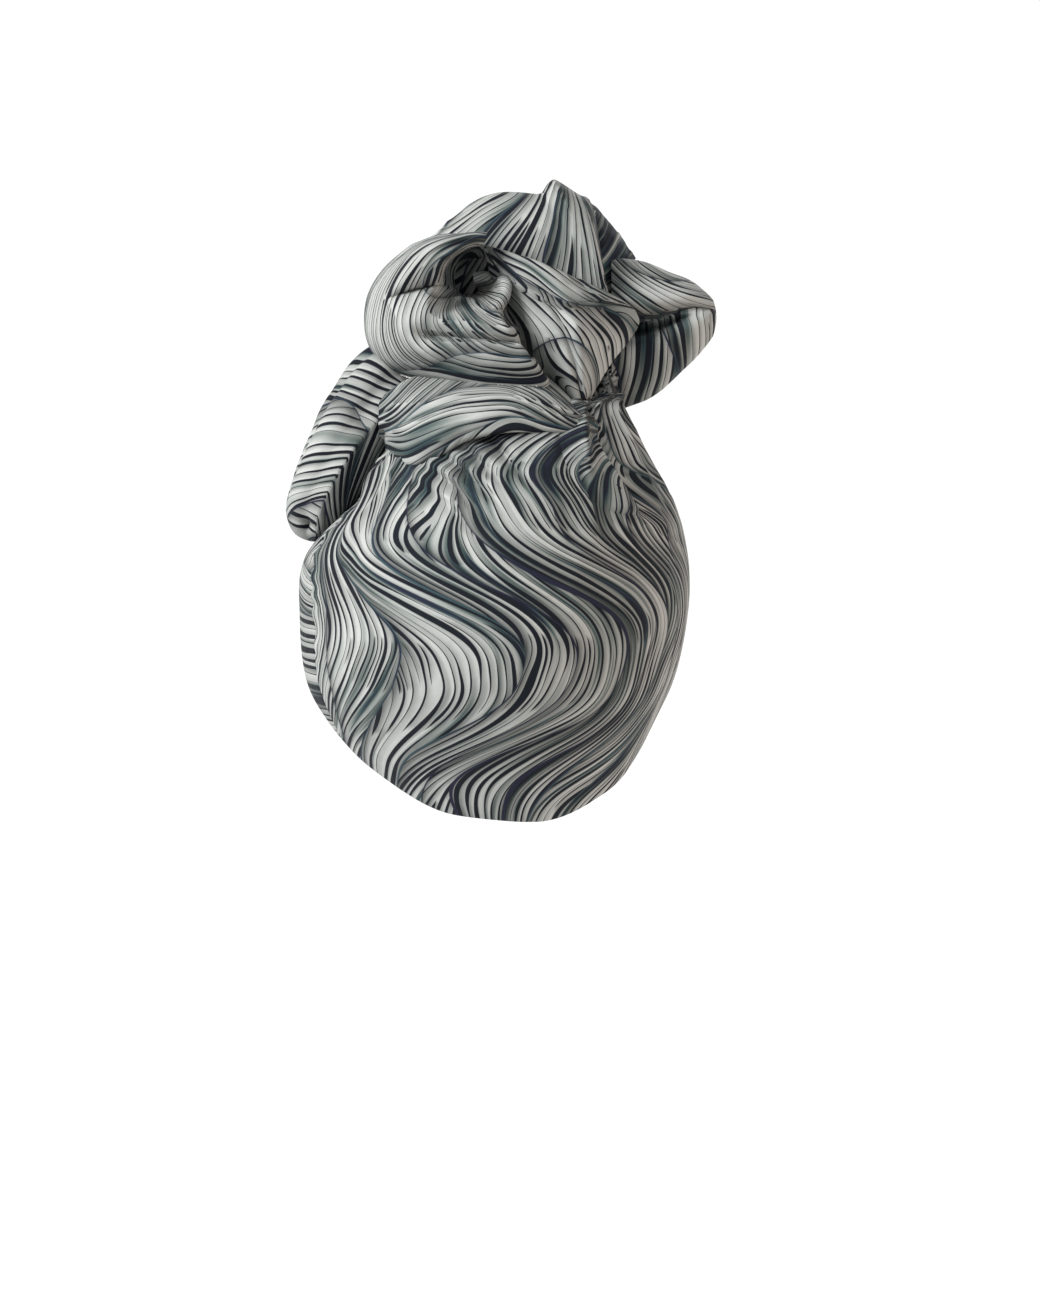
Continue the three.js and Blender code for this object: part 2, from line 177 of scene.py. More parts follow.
def drift(points: np.ndarray, size: float, seed: int) -> np.ndarray:
    """Smooth noise over points.

    Args:
        points: Positions, with 2 or 3 numbers in the last axis.
        size: Width of a feature, in the points' units.
        seed: Picks one noise among many.

    Returns:
        Values in -1..1, one for each point.
    """
    scaled = np.asarray(points, float) / size
    if scaled.shape[-1] == 2:
        scaled = np.concatenate([scaled, np.zeros(scaled.shape[:-1] + (1,))], -1)
    cell = np.floor(scaled).astype(np.int64)
    f = scaled - cell
    ease = f * f * f * (f * (6 * f - 15) + 10)
    total = np.zeros(scaled.shape[:-1])
    for corner in np.ndindex(2, 2, 2):
        weight = np.prod(np.where(np.array(corner) == 1, ease, 1 - ease), axis=-1)
        total += weight * lattice(cell + np.array(corner), seed)
    return total


def dressed(side: np.ndarray, out: np.ndarray, up: np.ndarray) -> np.ndarray:
    """Place points of the dressing axes in the wearer's frame, in millimetres above the nape.

    Args:
        side: Distance to the right as an onlooker behind sees it, in millimetres.
        out: Distance towards the back.
        up: Height.

    Returns:
        Points in the frame.
    """
    c, s = math.cos(DRESSING_TURN), math.sin(DRESSING_TURN)
    side, out, up = np.broadcast_arrays(side, out, up)
    return np.stack([-c * side + s * out, s * side + c * out, up], -1)


def dressing_of(points: np.ndarray) -> tuple[np.ndarray, np.ndarray, np.ndarray]:
    """Read side, out and up of points in the wearer's frame.

    Args:
        points: Points in the frame.

    Returns:
        Their side, out and up.
    """
    c, s = math.cos(DRESSING_TURN), math.sin(DRESSING_TURN)
    return -c * points[..., 0] + s * points[..., 1], s * points[..., 0] + c * points[..., 1], points[..., 2]


def spans(rows: int, columns: int) -> tuple[np.ndarray, np.ndarray]:
    """Two grids of shares, one running 0 to 1 down the rows and one across the columns.

    Args:
        rows: Number of rows.
        columns: Number of columns.

    Returns:
        The share along the rows and along the columns at each grid point.
    """
    return np.meshgrid(np.linspace(0, 1, rows), np.linspace(0, 1, columns), indexing="ij")


# ------------------------------------------------------------------ cloth
@dataclass
class Cloth:
    """A grid of cloth: points in millimetres, and where each lies on the print, in millimetres."""

    points: np.ndarray
    printed: np.ndarray
    loop: bool = False

    def normals(self) -> np.ndarray:
        """Unit normals of the grid.

        Returns:
            A unit normal at each grid point.
        """
        along = np.gradient(self.points, axis=0)
        if self.loop:
            across = (np.roll(self.points, -1, 1) - np.roll(self.points, 1, 1)) / 2
        else:
            across = np.gradient(self.points, axis=1)
        normal = np.cross(along, across)
        return normal / np.maximum(np.linalg.norm(normal, axis=-1, keepdims=True), 1e-9)

    def spread(self) -> np.ndarray:
        """Millimetres of cloth for each millimetre across the print's strands, at every point.

        Returns:
            Millimetres of cloth for each millimetre of print, at each grid point.
        """
        down, over = np.gradient(self.points, axis=0), np.gradient(self.points, axis=1)
        flow_down = np.gradient(self.printed[..., 0], axis=0)
        flow_over = np.gradient(self.printed[..., 0], axis=1)
        e, f, g = (down * down).sum(-1), (down * over).sum(-1), (over * over).sum(-1)
        steep = g * flow_down**2 - 2 * f * flow_down * flow_over + e * flow_over**2
        rate = np.sqrt(np.maximum(steep, 0) / np.maximum(e * g - f * f, 1e-6))
        return np.clip(1 / np.maximum(rate, 1e-3), 0.15, 5.0)

    def combed(self, swing: float, seed: int, length: float = 85.0) -> "Cloth":
        """Let the print's strands swing from side to side.

        Args:
            swing: How far they swing, in millimetres.
            seed: Picks one swing among many.
            length: Length of one swing.

        Returns:
            This cloth.
        """
        place = self.printed * np.array([0.52, 1.0])
        self.printed[..., 0] += swing * drift(place, length, seed)
        finer = drift(self.printed * np.array([0.6, 1.0]), 0.45 * length, seed + 1)
        self.printed[..., 0] += 0.22 * swing * finer
        return self

    def face(self, towards: np.ndarray) -> "Cloth":
        """Turn the grid so that its front looks the given way on the whole.

        Args:
            towards: A direction, or a direction for each point.

        Returns:
            This cloth, or the same cloth with its columns in reverse.
        """
        if (self.normals() * towards).sum() >= 0:
            return self
        return Cloth(self.points[:, ::-1].copy(), self.printed[:, ::-1].copy(), self.loop)

    def lift(self, height: np.ndarray) -> "Cloth":
        """Move every point along its normal.

        Args:
            height: How far each point moves along its normal, in millimetres.

        Returns:
            The lifted cloth.
        """
        self.points = self.points + self.normals() * height[..., None]
        return self

    def turned_under(self, edge: "Edge", radius: float, length: float) -> "Cloth":
        """Turn one edge of the cloth under, as a fold or a hem is.

        Args:
            edge: The edge to turn.
            radius: Radius of the bend.
            length: Width of the part that lies behind.

        Returns:
            The larger cloth.
        """
        points, printed, normals = self.points, self.printed, self.normals()
        if edge in (Edge.FIRST_COLUMN, Edge.LAST_COLUMN):
            points, printed, normals = (np.swapaxes(a, 0, 1) for a in (points, printed, normals))
        if edge in (Edge.FIRST_ROW, Edge.FIRST_COLUMN):
            points, printed, normals = points[::-1], printed[::-1], normals[::-1]
        away = points[-1] - points[-3]
        away = away - (away * normals[-1]).sum(-1, keepdims=True) * normals[-1]
        away /= np.maximum(np.linalg.norm(away, axis=-1, keepdims=True), 1e-9)
        step = printed[-1] - printed[-2]
        reach = np.linalg.norm(points[-1] - points[-2], axis=-1, keepdims=True)
        along_print = step / np.maximum(reach, 0.2)
        extra_points, extra_printed, walked = [], [], 0.0
        bends = 6
        for k in range(1, bends + 1):
            turn = math.pi * k / bends
            walked += math.pi * radius / bends
            centre = points[-1] - normals[-1] * radius
            extra_points.append(centre + radius * (normals[-1] * math.cos(turn) + away * math.sin(turn)))
            extra_printed.append(printed[-1] + along_print * walked)
        strips = max(2, round(length / 2.5))
        for k in range(1, strips + 1):
            extra_points.append(extra_points[bends - 1] - away * length * k / strips)
            extra_printed.append(printed[-1] + along_print * (walked + length * k / strips))
        points = np.concatenate([points, np.stack(extra_points)])
        printed = np.concatenate([printed, np.stack(extra_printed)])
        if edge in (Edge.FIRST_ROW, Edge.FIRST_COLUMN):
            points, printed = points[::-1], printed[::-1]
        if edge in (Edge.FIRST_COLUMN, Edge.LAST_COLUMN):
            points, printed = np.swapaxes(points, 0, 1), np.swapaxes(printed, 0, 1)
        return Cloth(np.ascontiguousarray(points), np.ascontiguousarray(printed), self.loop)

    def crumpled(self, depth: float, size: float, seed: int) -> "Cloth":
        """Add soft random creases to the whole cloth.

        Args:
            depth: Depth of the crumples, in millimetres.
            size: Their width.
            seed: Which crumples.

        Returns:
            The crumpled cloth.
        """
        folds = 1 - 2 * np.abs(drift(self.points, size, seed))
        soft = drift(self.points, size * 2.3, seed + 1)
        return self.lift(depth * (0.6 * folds * np.abs(soft) + 0.7 * soft))


class Edge(Enum):
    """The four edges of a grid of cloth."""

    FIRST_ROW = 0
    LAST_ROW = 1
    FIRST_COLUMN = 2
    LAST_COLUMN = 3


def cloth_object(name: str, cloth: Cloth, thickness: float = 1.1) -> bpy.types.Object:
    """Make a mesh of a cloth, with its thickness and its place on the print.

    Args:
        name: Name of the object.
        cloth: The grid.
        thickness: Of the cloth, in millimetres.

    Returns:
        The object, at the origin.
    """
    rows, columns = cloth.points.shape[:2]
    positions = cloth.points * MM
    positions[..., 2] += NAPE
    wide = columns if cloth.loop else columns - 1
    i, j = np.meshgrid(np.arange(rows - 1), np.arange(wide), indexing="ij")
    corners = [(i, j), (i + 1, j), (i + 1, j + 1), (i, j + 1)]
    faces = np.stack([a * columns + b % columns for a, b in corners], -1).reshape(-1, 4)
    printed = cloth.printed
    if cloth.loop:
        closing = 2 * printed[:, -1:] - printed[:, -2:-1]
        printed = np.concatenate([printed, closing], 1)
    on_print = np.stack([printed[a, b] for a, b in corners], -2).reshape(-1, 2) * MM
    mesh = bpy.data.meshes.new(name)
    mesh.from_pydata(positions.reshape(-1, 3).tolist(), [], faces.tolist())
    layer = mesh.uv_layers.new(name=PRINT_MAP)
    layer.data.foreach_set("uv", on_print.astype(np.float32).ravel())
    spread = mesh.attributes.new(SPREAD, "FLOAT", "POINT")
    spread.data.foreach_set("value", cloth.spread().astype(np.float32).ravel())
    mesh.update()
    piece = bpy.data.objects.new(name, mesh)
    bpy.context.scene.collection.objects.link(piece)
    wall = piece.modifiers.new("Thickness", "SOLIDIFY")
    wall.thickness = thickness * MM
    wall.offset = 0.0
    wall.use_even_offset = False
    settle(piece)
    return piece


def settle(piece: bpy.types.Object) -> None:
    """Apply a piece's modifiers and shade it smooth, with its sharp turns kept.

    Args:
        piece: The object whose modifiers are applied.
    """
    graph = bpy.context.evaluated_depsgraph_get()
    made = bpy.data.meshes.new_from_object(piece.evaluated_get(graph), depsgraph=graph)
    made.name = piece.name
    old = piece.data
    piece.modifiers.clear()
    piece.data = made
    bpy.data.meshes.remove(old)
    made.polygons.foreach_set("use_smooth", [True] * len(made.polygons))
    made.set_sharp_from_angle(angle=math.radians(50))


# ------------------------------------------------------------------ finishes
class NodeSheet:
    """A small helper that adds shader nodes and wires them."""

    def __init__(self, tree: bpy.types.NodeTree) -> None:
        """Work on one node tree.

        Args:
            tree: The node tree to work on.
        """
        self.tree = tree

    def add(self, kind: str, inputs: dict | None = None, **settings: object) -> bpy.types.Node:
        """Add a node.

        Args:
            kind: The node's type name.
            inputs: Values or sockets for its inputs, by name or place.
            settings: Its properties.

        Returns:
            The node.
        """
        node = self.tree.nodes.new(kind)
        for key, value in settings.items():
            setattr(node, key, value)
        for key, value in (inputs or {}).items():
            if isinstance(value, bpy.types.NodeSocket):
                self.tree.links.new(value, node.inputs[key])
            else:
                node.inputs[key].default_value = value
        return node

    def sum(self, operation: str, a: object, b: object = 0.0, c: object = 0.0) -> bpy.types.NodeSocket:
        """One step of arithmetic on sockets or numbers.

        Args:
            operation: The Math node's operation.
            a: First socket or number.
            b: Second.
            c: Third.

        Returns:
            The result.
        """
        return self.add("ShaderNodeMath", {0: a, 1: b, 2: c}, operation=operation).outputs[0]

    def step(self, value: object, low: float, high: float, a: float = 0.0,
             b: float = 1.0) -> bpy.types.NodeSocket:
        """Ease from a to b as a value goes from low to high.

        Args:
            value: The value.
            low: Where the ease starts.
            high: Where it ends.
            a: Result below the start.
            b: Result above the end.

        Returns:
            The eased value.
        """
        inputs = {"Value": value, "From Min": low, "From Max": high, "To Min": a, "To Max": b}
        return self.add("ShaderNodeMapRange", inputs, interpolation_type="SMOOTHSTEP").outputs[0]

    def noise(self, place: object, scale: float, detail: float = 0.0) -> bpy.types.NodeSocket:
        """Soft noise about 0.5 at a place.

        Args:
            place: A flat place.
            scale: Cells for each unit.
            detail: Finer octaves.

        Returns:
            The noise.
        """
        inputs = {"Vector": place, "Scale": scale, "Detail": detail}
        return self.add("ShaderNodeTexNoise", inputs, noise_dimensions="2D").outputs[0]

    def chance(self, a: object, b: object = 0.0) -> bpy.types.NodeSocket:
        """A fixed random number for each pair of whole numbers.

        Args:
            a: First whole number.
            b: Second.

        Returns:
            A number from 0 to 1.
        """
        pair = self.add("ShaderNodeCombineXYZ", {0: a, 1: b}).outputs[0]
        return self.add("ShaderNodeTexWhiteNoise", {"Vector": pair}, noise_dimensions="3D").outputs[0]

    def place(self, x: object, y: object) -> bpy.types.NodeSocket:
        """A flat place from two numbers.

        Args:
            x: First number.
            y: Second number.

        Returns:
            The place.
        """
        return self.add("ShaderNodeCombineXYZ", {0: x, 1: y}).outputs[0]

    def blend(self, share: object, a: object, b: object, mode: str = "MIX") -> bpy.types.NodeSocket:
        """Blend two colours.

        Args:
            share: Share of b.
            a: First colour.
            b: Second colour.
            mode: The Mix node's blend type.

        Returns:
            The blended colour.
        """
        node = self.add("ShaderNodeMix", {0: share, 6: a, 7: b}, data_type="RGBA", blend_type=mode)
        return node.outputs[2]


@dataclass(frozen=True)
class LineSet:
    """Evenly spaced lines of the print that come in where the print is spread wide enough."""

    spacing: float
    offset: float
    shown_from: float
    shown_by: float
    thickest: float
    seed: float


@dataclass(frozen=True)
class FlowPrint:
    """The printed cloth: locks of long strands that flow, part and taper between thin dark lines."""

    lock: float = 31.0
    lock_wander: float = 22.0
    slant: float = 0.4
    wobble: float = 0.75
    strand_shadow: float = 0.45
    ink: tuple[float, ...] = (0.004, 0.006, 0.009, 1.0)
    navy: tuple[float, ...] = (0.010, 0.012, 0.024, 1.0)
    teal: tuple[float, ...] = (0.022, 0.042, 0.048, 1.0)
    green: tuple[float, ...] = (0.07, 0.09, 0.085, 1.0)
    middle: tuple[float, ...] = (0.19, 0.206, 0.196, 1.0)
    pale: tuple[float, ...] = (0.30, 0.31, 0.298, 1.0)
    lines: tuple[LineSet, ...] = (
        LineSet(6.6, 0.0, 0.16, 0.42, 1.1, 0.0),
        LineSet(6.6, 3.3, 0.58, 0.86, 0.9, 31.7),
        LineSet(3.3, 1.65, 1.35, 1.85, 0.75, 67.1))

    def material(self) -> bpy.types.Material:
        """Build the material.

        Returns:
            The material.
        """
        made = bpy.data.materials.new("printed_cloth")
        made.use_nodes = True
        made.node_tree.nodes.clear()
        sheet = NodeSheet(made.node_tree)
        where = sheet.add("ShaderNodeUVMap", uv_map=PRINT_MAP).outputs[0]
        colour = self._print(sheet, where)
        surface = sheet.add("ShaderNodeBsdfPrincipled", {
            "Base Color": colour, "Roughness": 0.85, "Specular IOR Level": 0.12,
            "Sheen Weight": 0.02, "Sheen Roughness": 0.5, "Normal": self._relief(sheet)})
        sheet.add("ShaderNodeOutputMaterial", {"Surface": surface.outputs[0]})
        return made

    def _print(self, sheet: NodeSheet, where: bpy.types.NodeSocket) -> bpy.types.NodeSocket:
        """Draw the print.

        Args:
            sheet: The material's nodes.
            where: The place on the print: across the strands and along them, in metres.

        Returns:
            The colour.
        """
        axes = sheet.add("ShaderNodeSeparateXYZ", {0: where})
        flow = sheet.sum("MULTIPLY", axes.outputs[0], 1000.0)
        along = sheet.sum("MULTIPLY", axes.outputs[1], 1000.0)
        spread = sheet.add("ShaderNodeAttribute", attribute_name=SPREAD).outputs["Fac"]
        bend = sheet.sum("SUBTRACT", sheet.noise(sheet.place(flow, along), 1.0 / 70.0), 0.5)
        wandering = sheet.sum("MULTIPLY_ADD", bend, self.lock_wander * 2.0, flow)
        lock_place = sheet.sum("DIVIDE", wandering, self.lock)
        lock = sheet.sum("FLOOR", lock_place)
        slant = sheet.step(sheet.chance(lock), 0.1, 0.9, -self.slant, self.slant)
        swept = sheet.sum("MULTIPLY_ADD", bend, 60.0, along)
        comb = sheet.sum("MULTIPLY_ADD", slant, swept, flow)
        stretched = sheet.place(sheet.sum("MULTIPLY", comb, 0.13), sheet.sum("MULTIPLY", along, 0.02))
        small = sheet.sum("SUBTRACT", sheet.noise(stretched, 1.0), 0.5)
        comb = sheet.sum("MULTIPLY_ADD", small, self.wobble * 4.0, comb)
        fine_place = sheet.place(sheet.sum("MULTIPLY", comb, 0.31), sheet.sum("MULTIPLY", along, 0.03))
        fine = sheet.noise(fine_place, 1.0)
        comb = sheet.sum("MULTIPLY_ADD", sheet.sum("SUBTRACT", fine, 0.5), 1.7, comb)
        ink, shadow = self._strand_lines(sheet, comb, along, lock, spread)
        colour = self._strand_colour(sheet, comb, along, lock)
        colour = sheet.blend(1.0, colour, shadow, "MULTIPLY")
        edge = sheet.sum("PINGPONG", sheet.sum("FRACT", lock_place), 0.5)
        edge = sheet.sum("MULTIPLY", sheet.sum("MULTIPLY", edge, self.lock), spread)
        swell_place = sheet.place(sheet.sum("MULTIPLY", lock, 5.3), sheet.sum("MULTIPLY", along, 0.02))
        swell = sheet.noise(swell_place, 1.0)
        swell = sheet.step(swell, 0.35, 0.7, 0.15, 0.85)
        gap = sheet.step(sheet.sum("SUBTRACT", edge, swell), -0.25, 0.25, 1.0, 0.0)
        within = sheet.sum("MULTIPLY", sheet.sum("FRACT", lock_place), self.lock)
        within = sheet.sum("MULTIPLY", within, spread)
        one_side = sheet.step(within, 0.0, 10.0, 0.55, 1.0)
        near = sheet.sum("MULTIPLY", sheet.step(edge, 0.3, 4.0, 0.72, 1.0), one_side)
        near = sheet.sum("MULTIPLY", near, sheet.step(spread, 0.12, 0.5, 0.3, 1.0))
        colour = sheet.blend(1.0, colour, near, "MULTIPLY")
        colour = sheet.blend(ink, colour, self.ink)
        lock_ink = sheet.blend(sheet.step(sheet.chance(lock, 3.0), 0.4, 0.6), self.navy, self.teal)
        return sheet.blend(gap, colour, lock_ink)

    def _strand_lines(self, sheet: NodeSheet, comb: bpy.types.NodeSocket, along: bpy.types.NodeSocket,
                      lock: bpy.types.NodeSocket, spread: bpy.types.NodeSocket) -> tuple:
        """Draw the lines between strands.

        Args:
            sheet: The material's nodes.
            comb: Place across the strands.
            along: Place along them.
            lock: Number of the lock.
            spread: Millimetres of cloth for each millimetre of print.

        Returns:
            The ink's share, and the soft shade beside each line.
        """
        ink, shadow = None, None
        for lines in self.lines:
            place = sheet.sum("DIVIDE", sheet.sum("ADD", comb, lines.offset), lines.spacing)
            number = sheet.sum("FLOOR", sheet.sum("ADD", place, 0.5))
            off = sheet.sum("MULTIPLY", sheet.sum("SUBTRACT", place, number), lines.spacing)
            off = sheet.sum("MULTIPLY", off, spread)
            own = sheet.sum("MULTIPLY_ADD", number, 7.31, lines.seed)
            own = sheet.sum("MULTIPLY_ADD", lock, 3.7, own)
            swell = sheet.noise(sheet.place(own, sheet.sum("MULTIPLY", along, 0.021)), 1.0)
            width = sheet.step(swell, 0.30, 0.76, 0.17, lines.thickest)
            shown = sheet.step(spread, lines.shown_from, lines.shown_by)
            width = sheet.sum("SUBTRACT", sheet.sum("MULTIPLY", width, shown),
                              sheet.sum("MULTIPLY", sheet.sum("SUBTRACT", 1.0, shown), 0.3))
            drawn = sheet.sum("SUBTRACT", sheet.sum("ABSOLUTE", off), width)
            line = sheet.step(drawn, -0.09, 0.09, 1.0, 0.0)
            strength = sheet.sum("MULTIPLY", sheet.step(width, 0.0, 0.35), self.strand_shadow)
            beside = sheet.sum("MULTIPLY", sheet.step(off, 0.1, 3.4, 1.0, 0.0), sheet.step(off, -0.3, 0.0))
            shade = sheet.sum("SUBTRACT", 1.0, sheet.sum("MULTIPLY", beside, strength))
            ink = line if ink is None else sheet.sum("MAXIMUM", ink, line)
            shadow = shade if shadow is None else sheet.sum("MULTIPLY", shadow, shade)
        return ink, shadow

    def _strand_colour(self, sheet: NodeSheet, comb: bpy.types.NodeSocket, along: bpy.types.NodeSocket,
                       lock: bpy.types.NodeSocket) -> bpy.types.NodeSocket:
        """Colour the strands: mostly pale, some grey-green, with a few dark wedges.

        Args:
            sheet: The material's nodes.
            comb: Place across the strands.
            along: Place along them.
            lock: Number of the lock.

        Returns:
            The colour.
        """
        base = sheet.sum("MULTIPLY_ADD", lock, 11.7, sheet.sum("MULTIPLY", comb, 0.21))
        tone = sheet.noise(sheet.place(base, sheet.sum("MULTIPLY", along, 0.013)), 1.0, 1.0)
        broad_place = sheet.place(sheet.sum("MULTIPLY", comb, 0.02), sheet.sum("MULTIPLY", along, 0.02))
        broad = sheet.noise(broad_place, 1.0)
        tone = sheet.sum("MULTIPLY_ADD", sheet.sum("SUBTRACT", broad, 0.5), 0.55, tone)
        ramp = sheet.add("ShaderNodeValToRGB", {0: tone})
        stops = [(0.15, self.navy), (0.2, self.teal), (0.27, self.green), (0.38, self.middle),
                 (0.54, self.pale)]
        ramp.color_ramp.elements[0].position, ramp.color_ramp.elements[0].color = stops[0]
        ramp.color_ramp.elements[1].position, ramp.color_ramp.elements[1].color = stops[-1]
        for position, colour in stops[1:-1]:
            ramp.color_ramp.elements.new(position).color = colour
        return ramp.outputs[0]

    def _relief(self, sheet: NodeSheet) -> bpy.types.NodeSocket:
        """Weave and fine crumpling, as a bumped normal.

        Args:
            sheet: The material's nodes.

        Returns:
            The bumped normal.
        """
        where = sheet.add("ShaderNodeTexCoord").outputs["Object"]
        crumple = sheet.add("ShaderNodeTexNoise", {"Vector": where, "Scale": 120.0, "Detail": 1.0}).outputs[0]
        thread = {"Vector": where, "Scale": 420.0}
        threads = sheet.add("ShaderNodeTexWave", thread, bands_direction="X").outputs[1]
        cross = sheet.add("ShaderNodeTexWave", thread, bands_direction="Z").outputs[1]
        weave = sheet.sum("ADD", threads, cross)
        height = sheet.sum("MULTIPLY_ADD", weave, 0.025, crumple)
        return sheet.add("ShaderNodeBump", {"Strength": 0.5, "Distance": 0.0016, "Height": height}).outputs[0]


@dataclass(frozen=True)
class Thread:
    """Pale overlocking thread."""

    colour: tuple[float, ...] = (0.78, 0.77, 0.72, 1.0)

    def material(self) -> bpy.types.Material:
        """Build the material.

        Returns:
            The material.
        """
        made = bpy.data.materials.new("overlock_thread")
        made.use_nodes = True
        made.node_tree.nodes.clear()
        sheet = NodeSheet(made.node_tree)
        where = sheet.add("ShaderNodeTexCoord").outputs["Object"]
        twist = sheet.add("ShaderNodeTexWave", {"Vector": where, "Scale": 900.0}, bands_direction="DIAGONAL")
        tone = sheet.blend(sheet.sum("MULTIPLY", twist.outputs[1], 0.4), self.colour, (0.5, 0.49, 0.45, 1.0))
        ply = sheet.add("ShaderNodeBump", {"Strength": 0.4, "Distance": 0.0001, "Height": twist.outputs[1]})
        surface = sheet.add("ShaderNodeBsdfPrincipled", {
            "Base Color": tone, "Roughness": 0.7, "Sheen Weight": 0.1, "Normal": ply.outputs[0]})
        sheet.add("ShaderNodeOutputMaterial", {"Surface": surface.outputs[0]})
        return made


# ------------------------------------------------------------------ the cap
@dataclass
class Cap:
    """The two sewn panels that cover the head, and the pleat that laps over the back one."""

    seam_angle: float = 10.0
    seam_gap: float = 0.35
    forehead_hem: float = 112.0
    hem_sweep: float = 0.95
    hem_turn: float = 0.9
    swing: tuple[float, int, float] = (66.0, 5, 88.0)
    mean_radius: float = 100.0
    sections: Table = Table(
        ("z", "width", "depth", "left", "back", "lean"),
        ((0, 54, 64, 0, 3, 0), (16, 62, 76, 2, 5, 0), (38, 75, 90, 5, 6, 0), (71, 90, 104, 5, 8, 0),
         (105, 95.5, 110, 2, 8, 0), (134, 95, 109, 2, 8, 0.01), (158, 84, 99, 0, 8, 0.08),
         (180, 68, 82, 0, 8, 0.14), (197, 53, 64, 0, 8, 0.27), (208, 37, 42, 0, 8, 0.52),
         (213.5, 15, 16, 0, 8, 1)))
    pleat: Table = Table(
        ("z", "side", "lift"),
        ((150, 76, 0.2), (158, 69, 3.4), (171, 58, 6.6), (186, 50, 7.6), (198, 46.5, 7.4), (206, 45, 5.4)))
    lengths: tuple[np.ndarray, np.ndarray] = field(init=False)

    def __post_init__(self) -> None:
        """Measure the cap's side, so that rows can be spaced evenly up it."""
        places = np.linspace(0, self.sections.last, 600)
        rows = self.sections.at(places)
        steps = np.hypot(np.diff(rows["z"]), np.diff(rows["width"]))
        self.lengths = (places, np.concatenate([[0.0], np.cumsum(steps)]))

    def hem_height(self, angle: np.ndarray) -> np.ndarray:
        """Height of the lower edge at an angle round the head, in radians.

        Args:
            angle: Angle from the left ear, round the back.

        Returns:
            The height, in millimetres.
        """
        towards_brow = (1 - np.sin(angle)) / 2
        degrees = np.degrees(angle)
        right = 8.5 * smooth(96, 134, degrees) * smooth(182, 150, degrees)
        left = 2.5 * smooth(92, 60, degrees) * smooth(0, 30, degrees)
        sweep = self.forehead_hem * smooth(0.02, 1.0, towards_brow**self.hem_sweep)
        return sweep + 5.4 * np.maximum(0, np.sin(angle)) + right + left

    def surface(self, place: np.ndarray, angle: np.ndarray) -> np.ndarray:
        """Points of the smooth cap at row places and angles.

        Args:
            place: Place between the rows of the section table.
            angle: Angle round the head.

        Returns:
            The points.
        """
        row = self.sections.at(place)
        x = mix(row["left"], TIE[0], row["lean"]) + row["width"] * np.cos(angle)
        y = mix(row["back"], TIE[1], row["lean"]) + row["depth"] * np.sin(angle)
        return np.stack([x, y, row["z"]], -1)

    def pleat_angle(self, z: np.ndarray) -> np.ndarray:
        """Angle round the head of the pleat's edge at each height.

        Args:
            z: The heights.

        Returns:
            The angle at each height.
        """
        edge = self.pleat.at(self.pleat.where("z", z))["side"]
        angles = np.radians(np.linspace(60, 178, 240))
        place = self.sections.where("z", z)
        sides = dressing_of(self.surface(place[..., None] + 0 * angles, angles + 0 * place[..., None]))[0]
        pairs = zip(edge.ravel(), sides.reshape(-1, angles.size))
        return np.array([np.interp(wanted, side, angles) for wanted, side in pairs]).reshape(edge.shape)

    def relief(self, points: np.ndarray, angle: np.ndarray) -> np.ndarray:
        """Distance of the dressed cloth off the smooth cap: gathers, puckers, tucks and soft swells.

        Args:
            points: Points of the smooth cap.
            angle: Their angles round the head.

        Returns:
            The distances, in millimetres.
        """
        side, out, up = dressing_of(points)
        rounds = np.stack([np.cos(angle) * 5.2, np.sin(angle) * 5.2, up * 0.004], -1)
        gather = 1 - 2.2 * np.abs(drift(rounds, 1.0, 11))
        near_tie = smooth(118, 196, up)
        height = 3.2 * near_tie * gather
        height += 1.8 * drift(points, 62.0, 3) + 0.55 * drift(points, 23.0, 4)
        dent = bump(out, 8, 30) * bump(up, 158, 24)
        height -= np.where(side < 0, 8.0 * dent, 0.0)
        height -= np.where(out > 0, 7.0 * bump(side, -70, 14) * bump(up, 170, 17), 0.0)
        height += 0.5 * (1 - 2 * np.abs(drift(points, 30.0, 6))) * smooth(60, 130, up)
        tuck = bump(side, -66 + (up - 150) * 0.35, 3.6) * smooth(128, 150, up) * smooth(190, 168, up)
        height += np.where(out > 0, 6.5 * tuck, 0.0)
        slope = side * 0.5 + up * 0.86
        pucker = bump(side, -14, 17) * bump(up, 172, 15)
        height += np.where(out > 0, 3.4 * pucker * np.sin(slope * 0.62 + 0.14 * side), 0.0)
        valley = bump(side - 2 + (up - 186) * 0.9, 0, 4.5) * bump(up, 183, 11)
        height -= np.where(out > 0, 7.0 * valley, 0.0)
        seam = np.abs(np.degrees(angle) - self.seam_angle)
        pinch = np.exp(-((seam / 4.5) ** 2)) * smooth(60, 110, up)
        height += 0.8 * pinch * np.sin(up * 0.62 + 3 * drift(points, 18.0, 9))
        under = self.pleat_shadow(side, out, up)
        return height - 6.0 * under

    def pleat_shadow(self, side: np.ndarray, out: np.ndarray, up: np.ndarray) -> np.ndarray:
        """Share of the tuck beside the pleat's edge, 1 at its deepest.

        Args:
            side: Distance to the right as an onlooker behind sees it, in millimetres.
            out: Distance towards the back.
            up: Height.

        Returns:
            The share at each point.
        """
        edge = self.pleat.at(self.pleat.where("z", up))["side"]
        beside = bump(side - edge, 4.0, 7.5) * smooth(148, 160, up)
        return np.where(out > 0, beside, 0.0)

    def printed(self, angle: np.ndarray, length: np.ndarray, share: np.ndarray, up: np.ndarray) -> np.ndarray:
        """Where the cloth lies on the print: round the head by along the cap's side.

        Args:
            angle: Angle round the head.
            length: Length up the cap's side.
            share: Share of the whole length.
            up: Height; not used.

        Returns:
            The place on the print, in millimetres.
        """
        gathered = 1 - 0.42 * smooth(0.55, 1.0, share)
        across = (angle - math.radians(96)) * self.mean_radius * gathered
        return np.stack([across, length], -1)

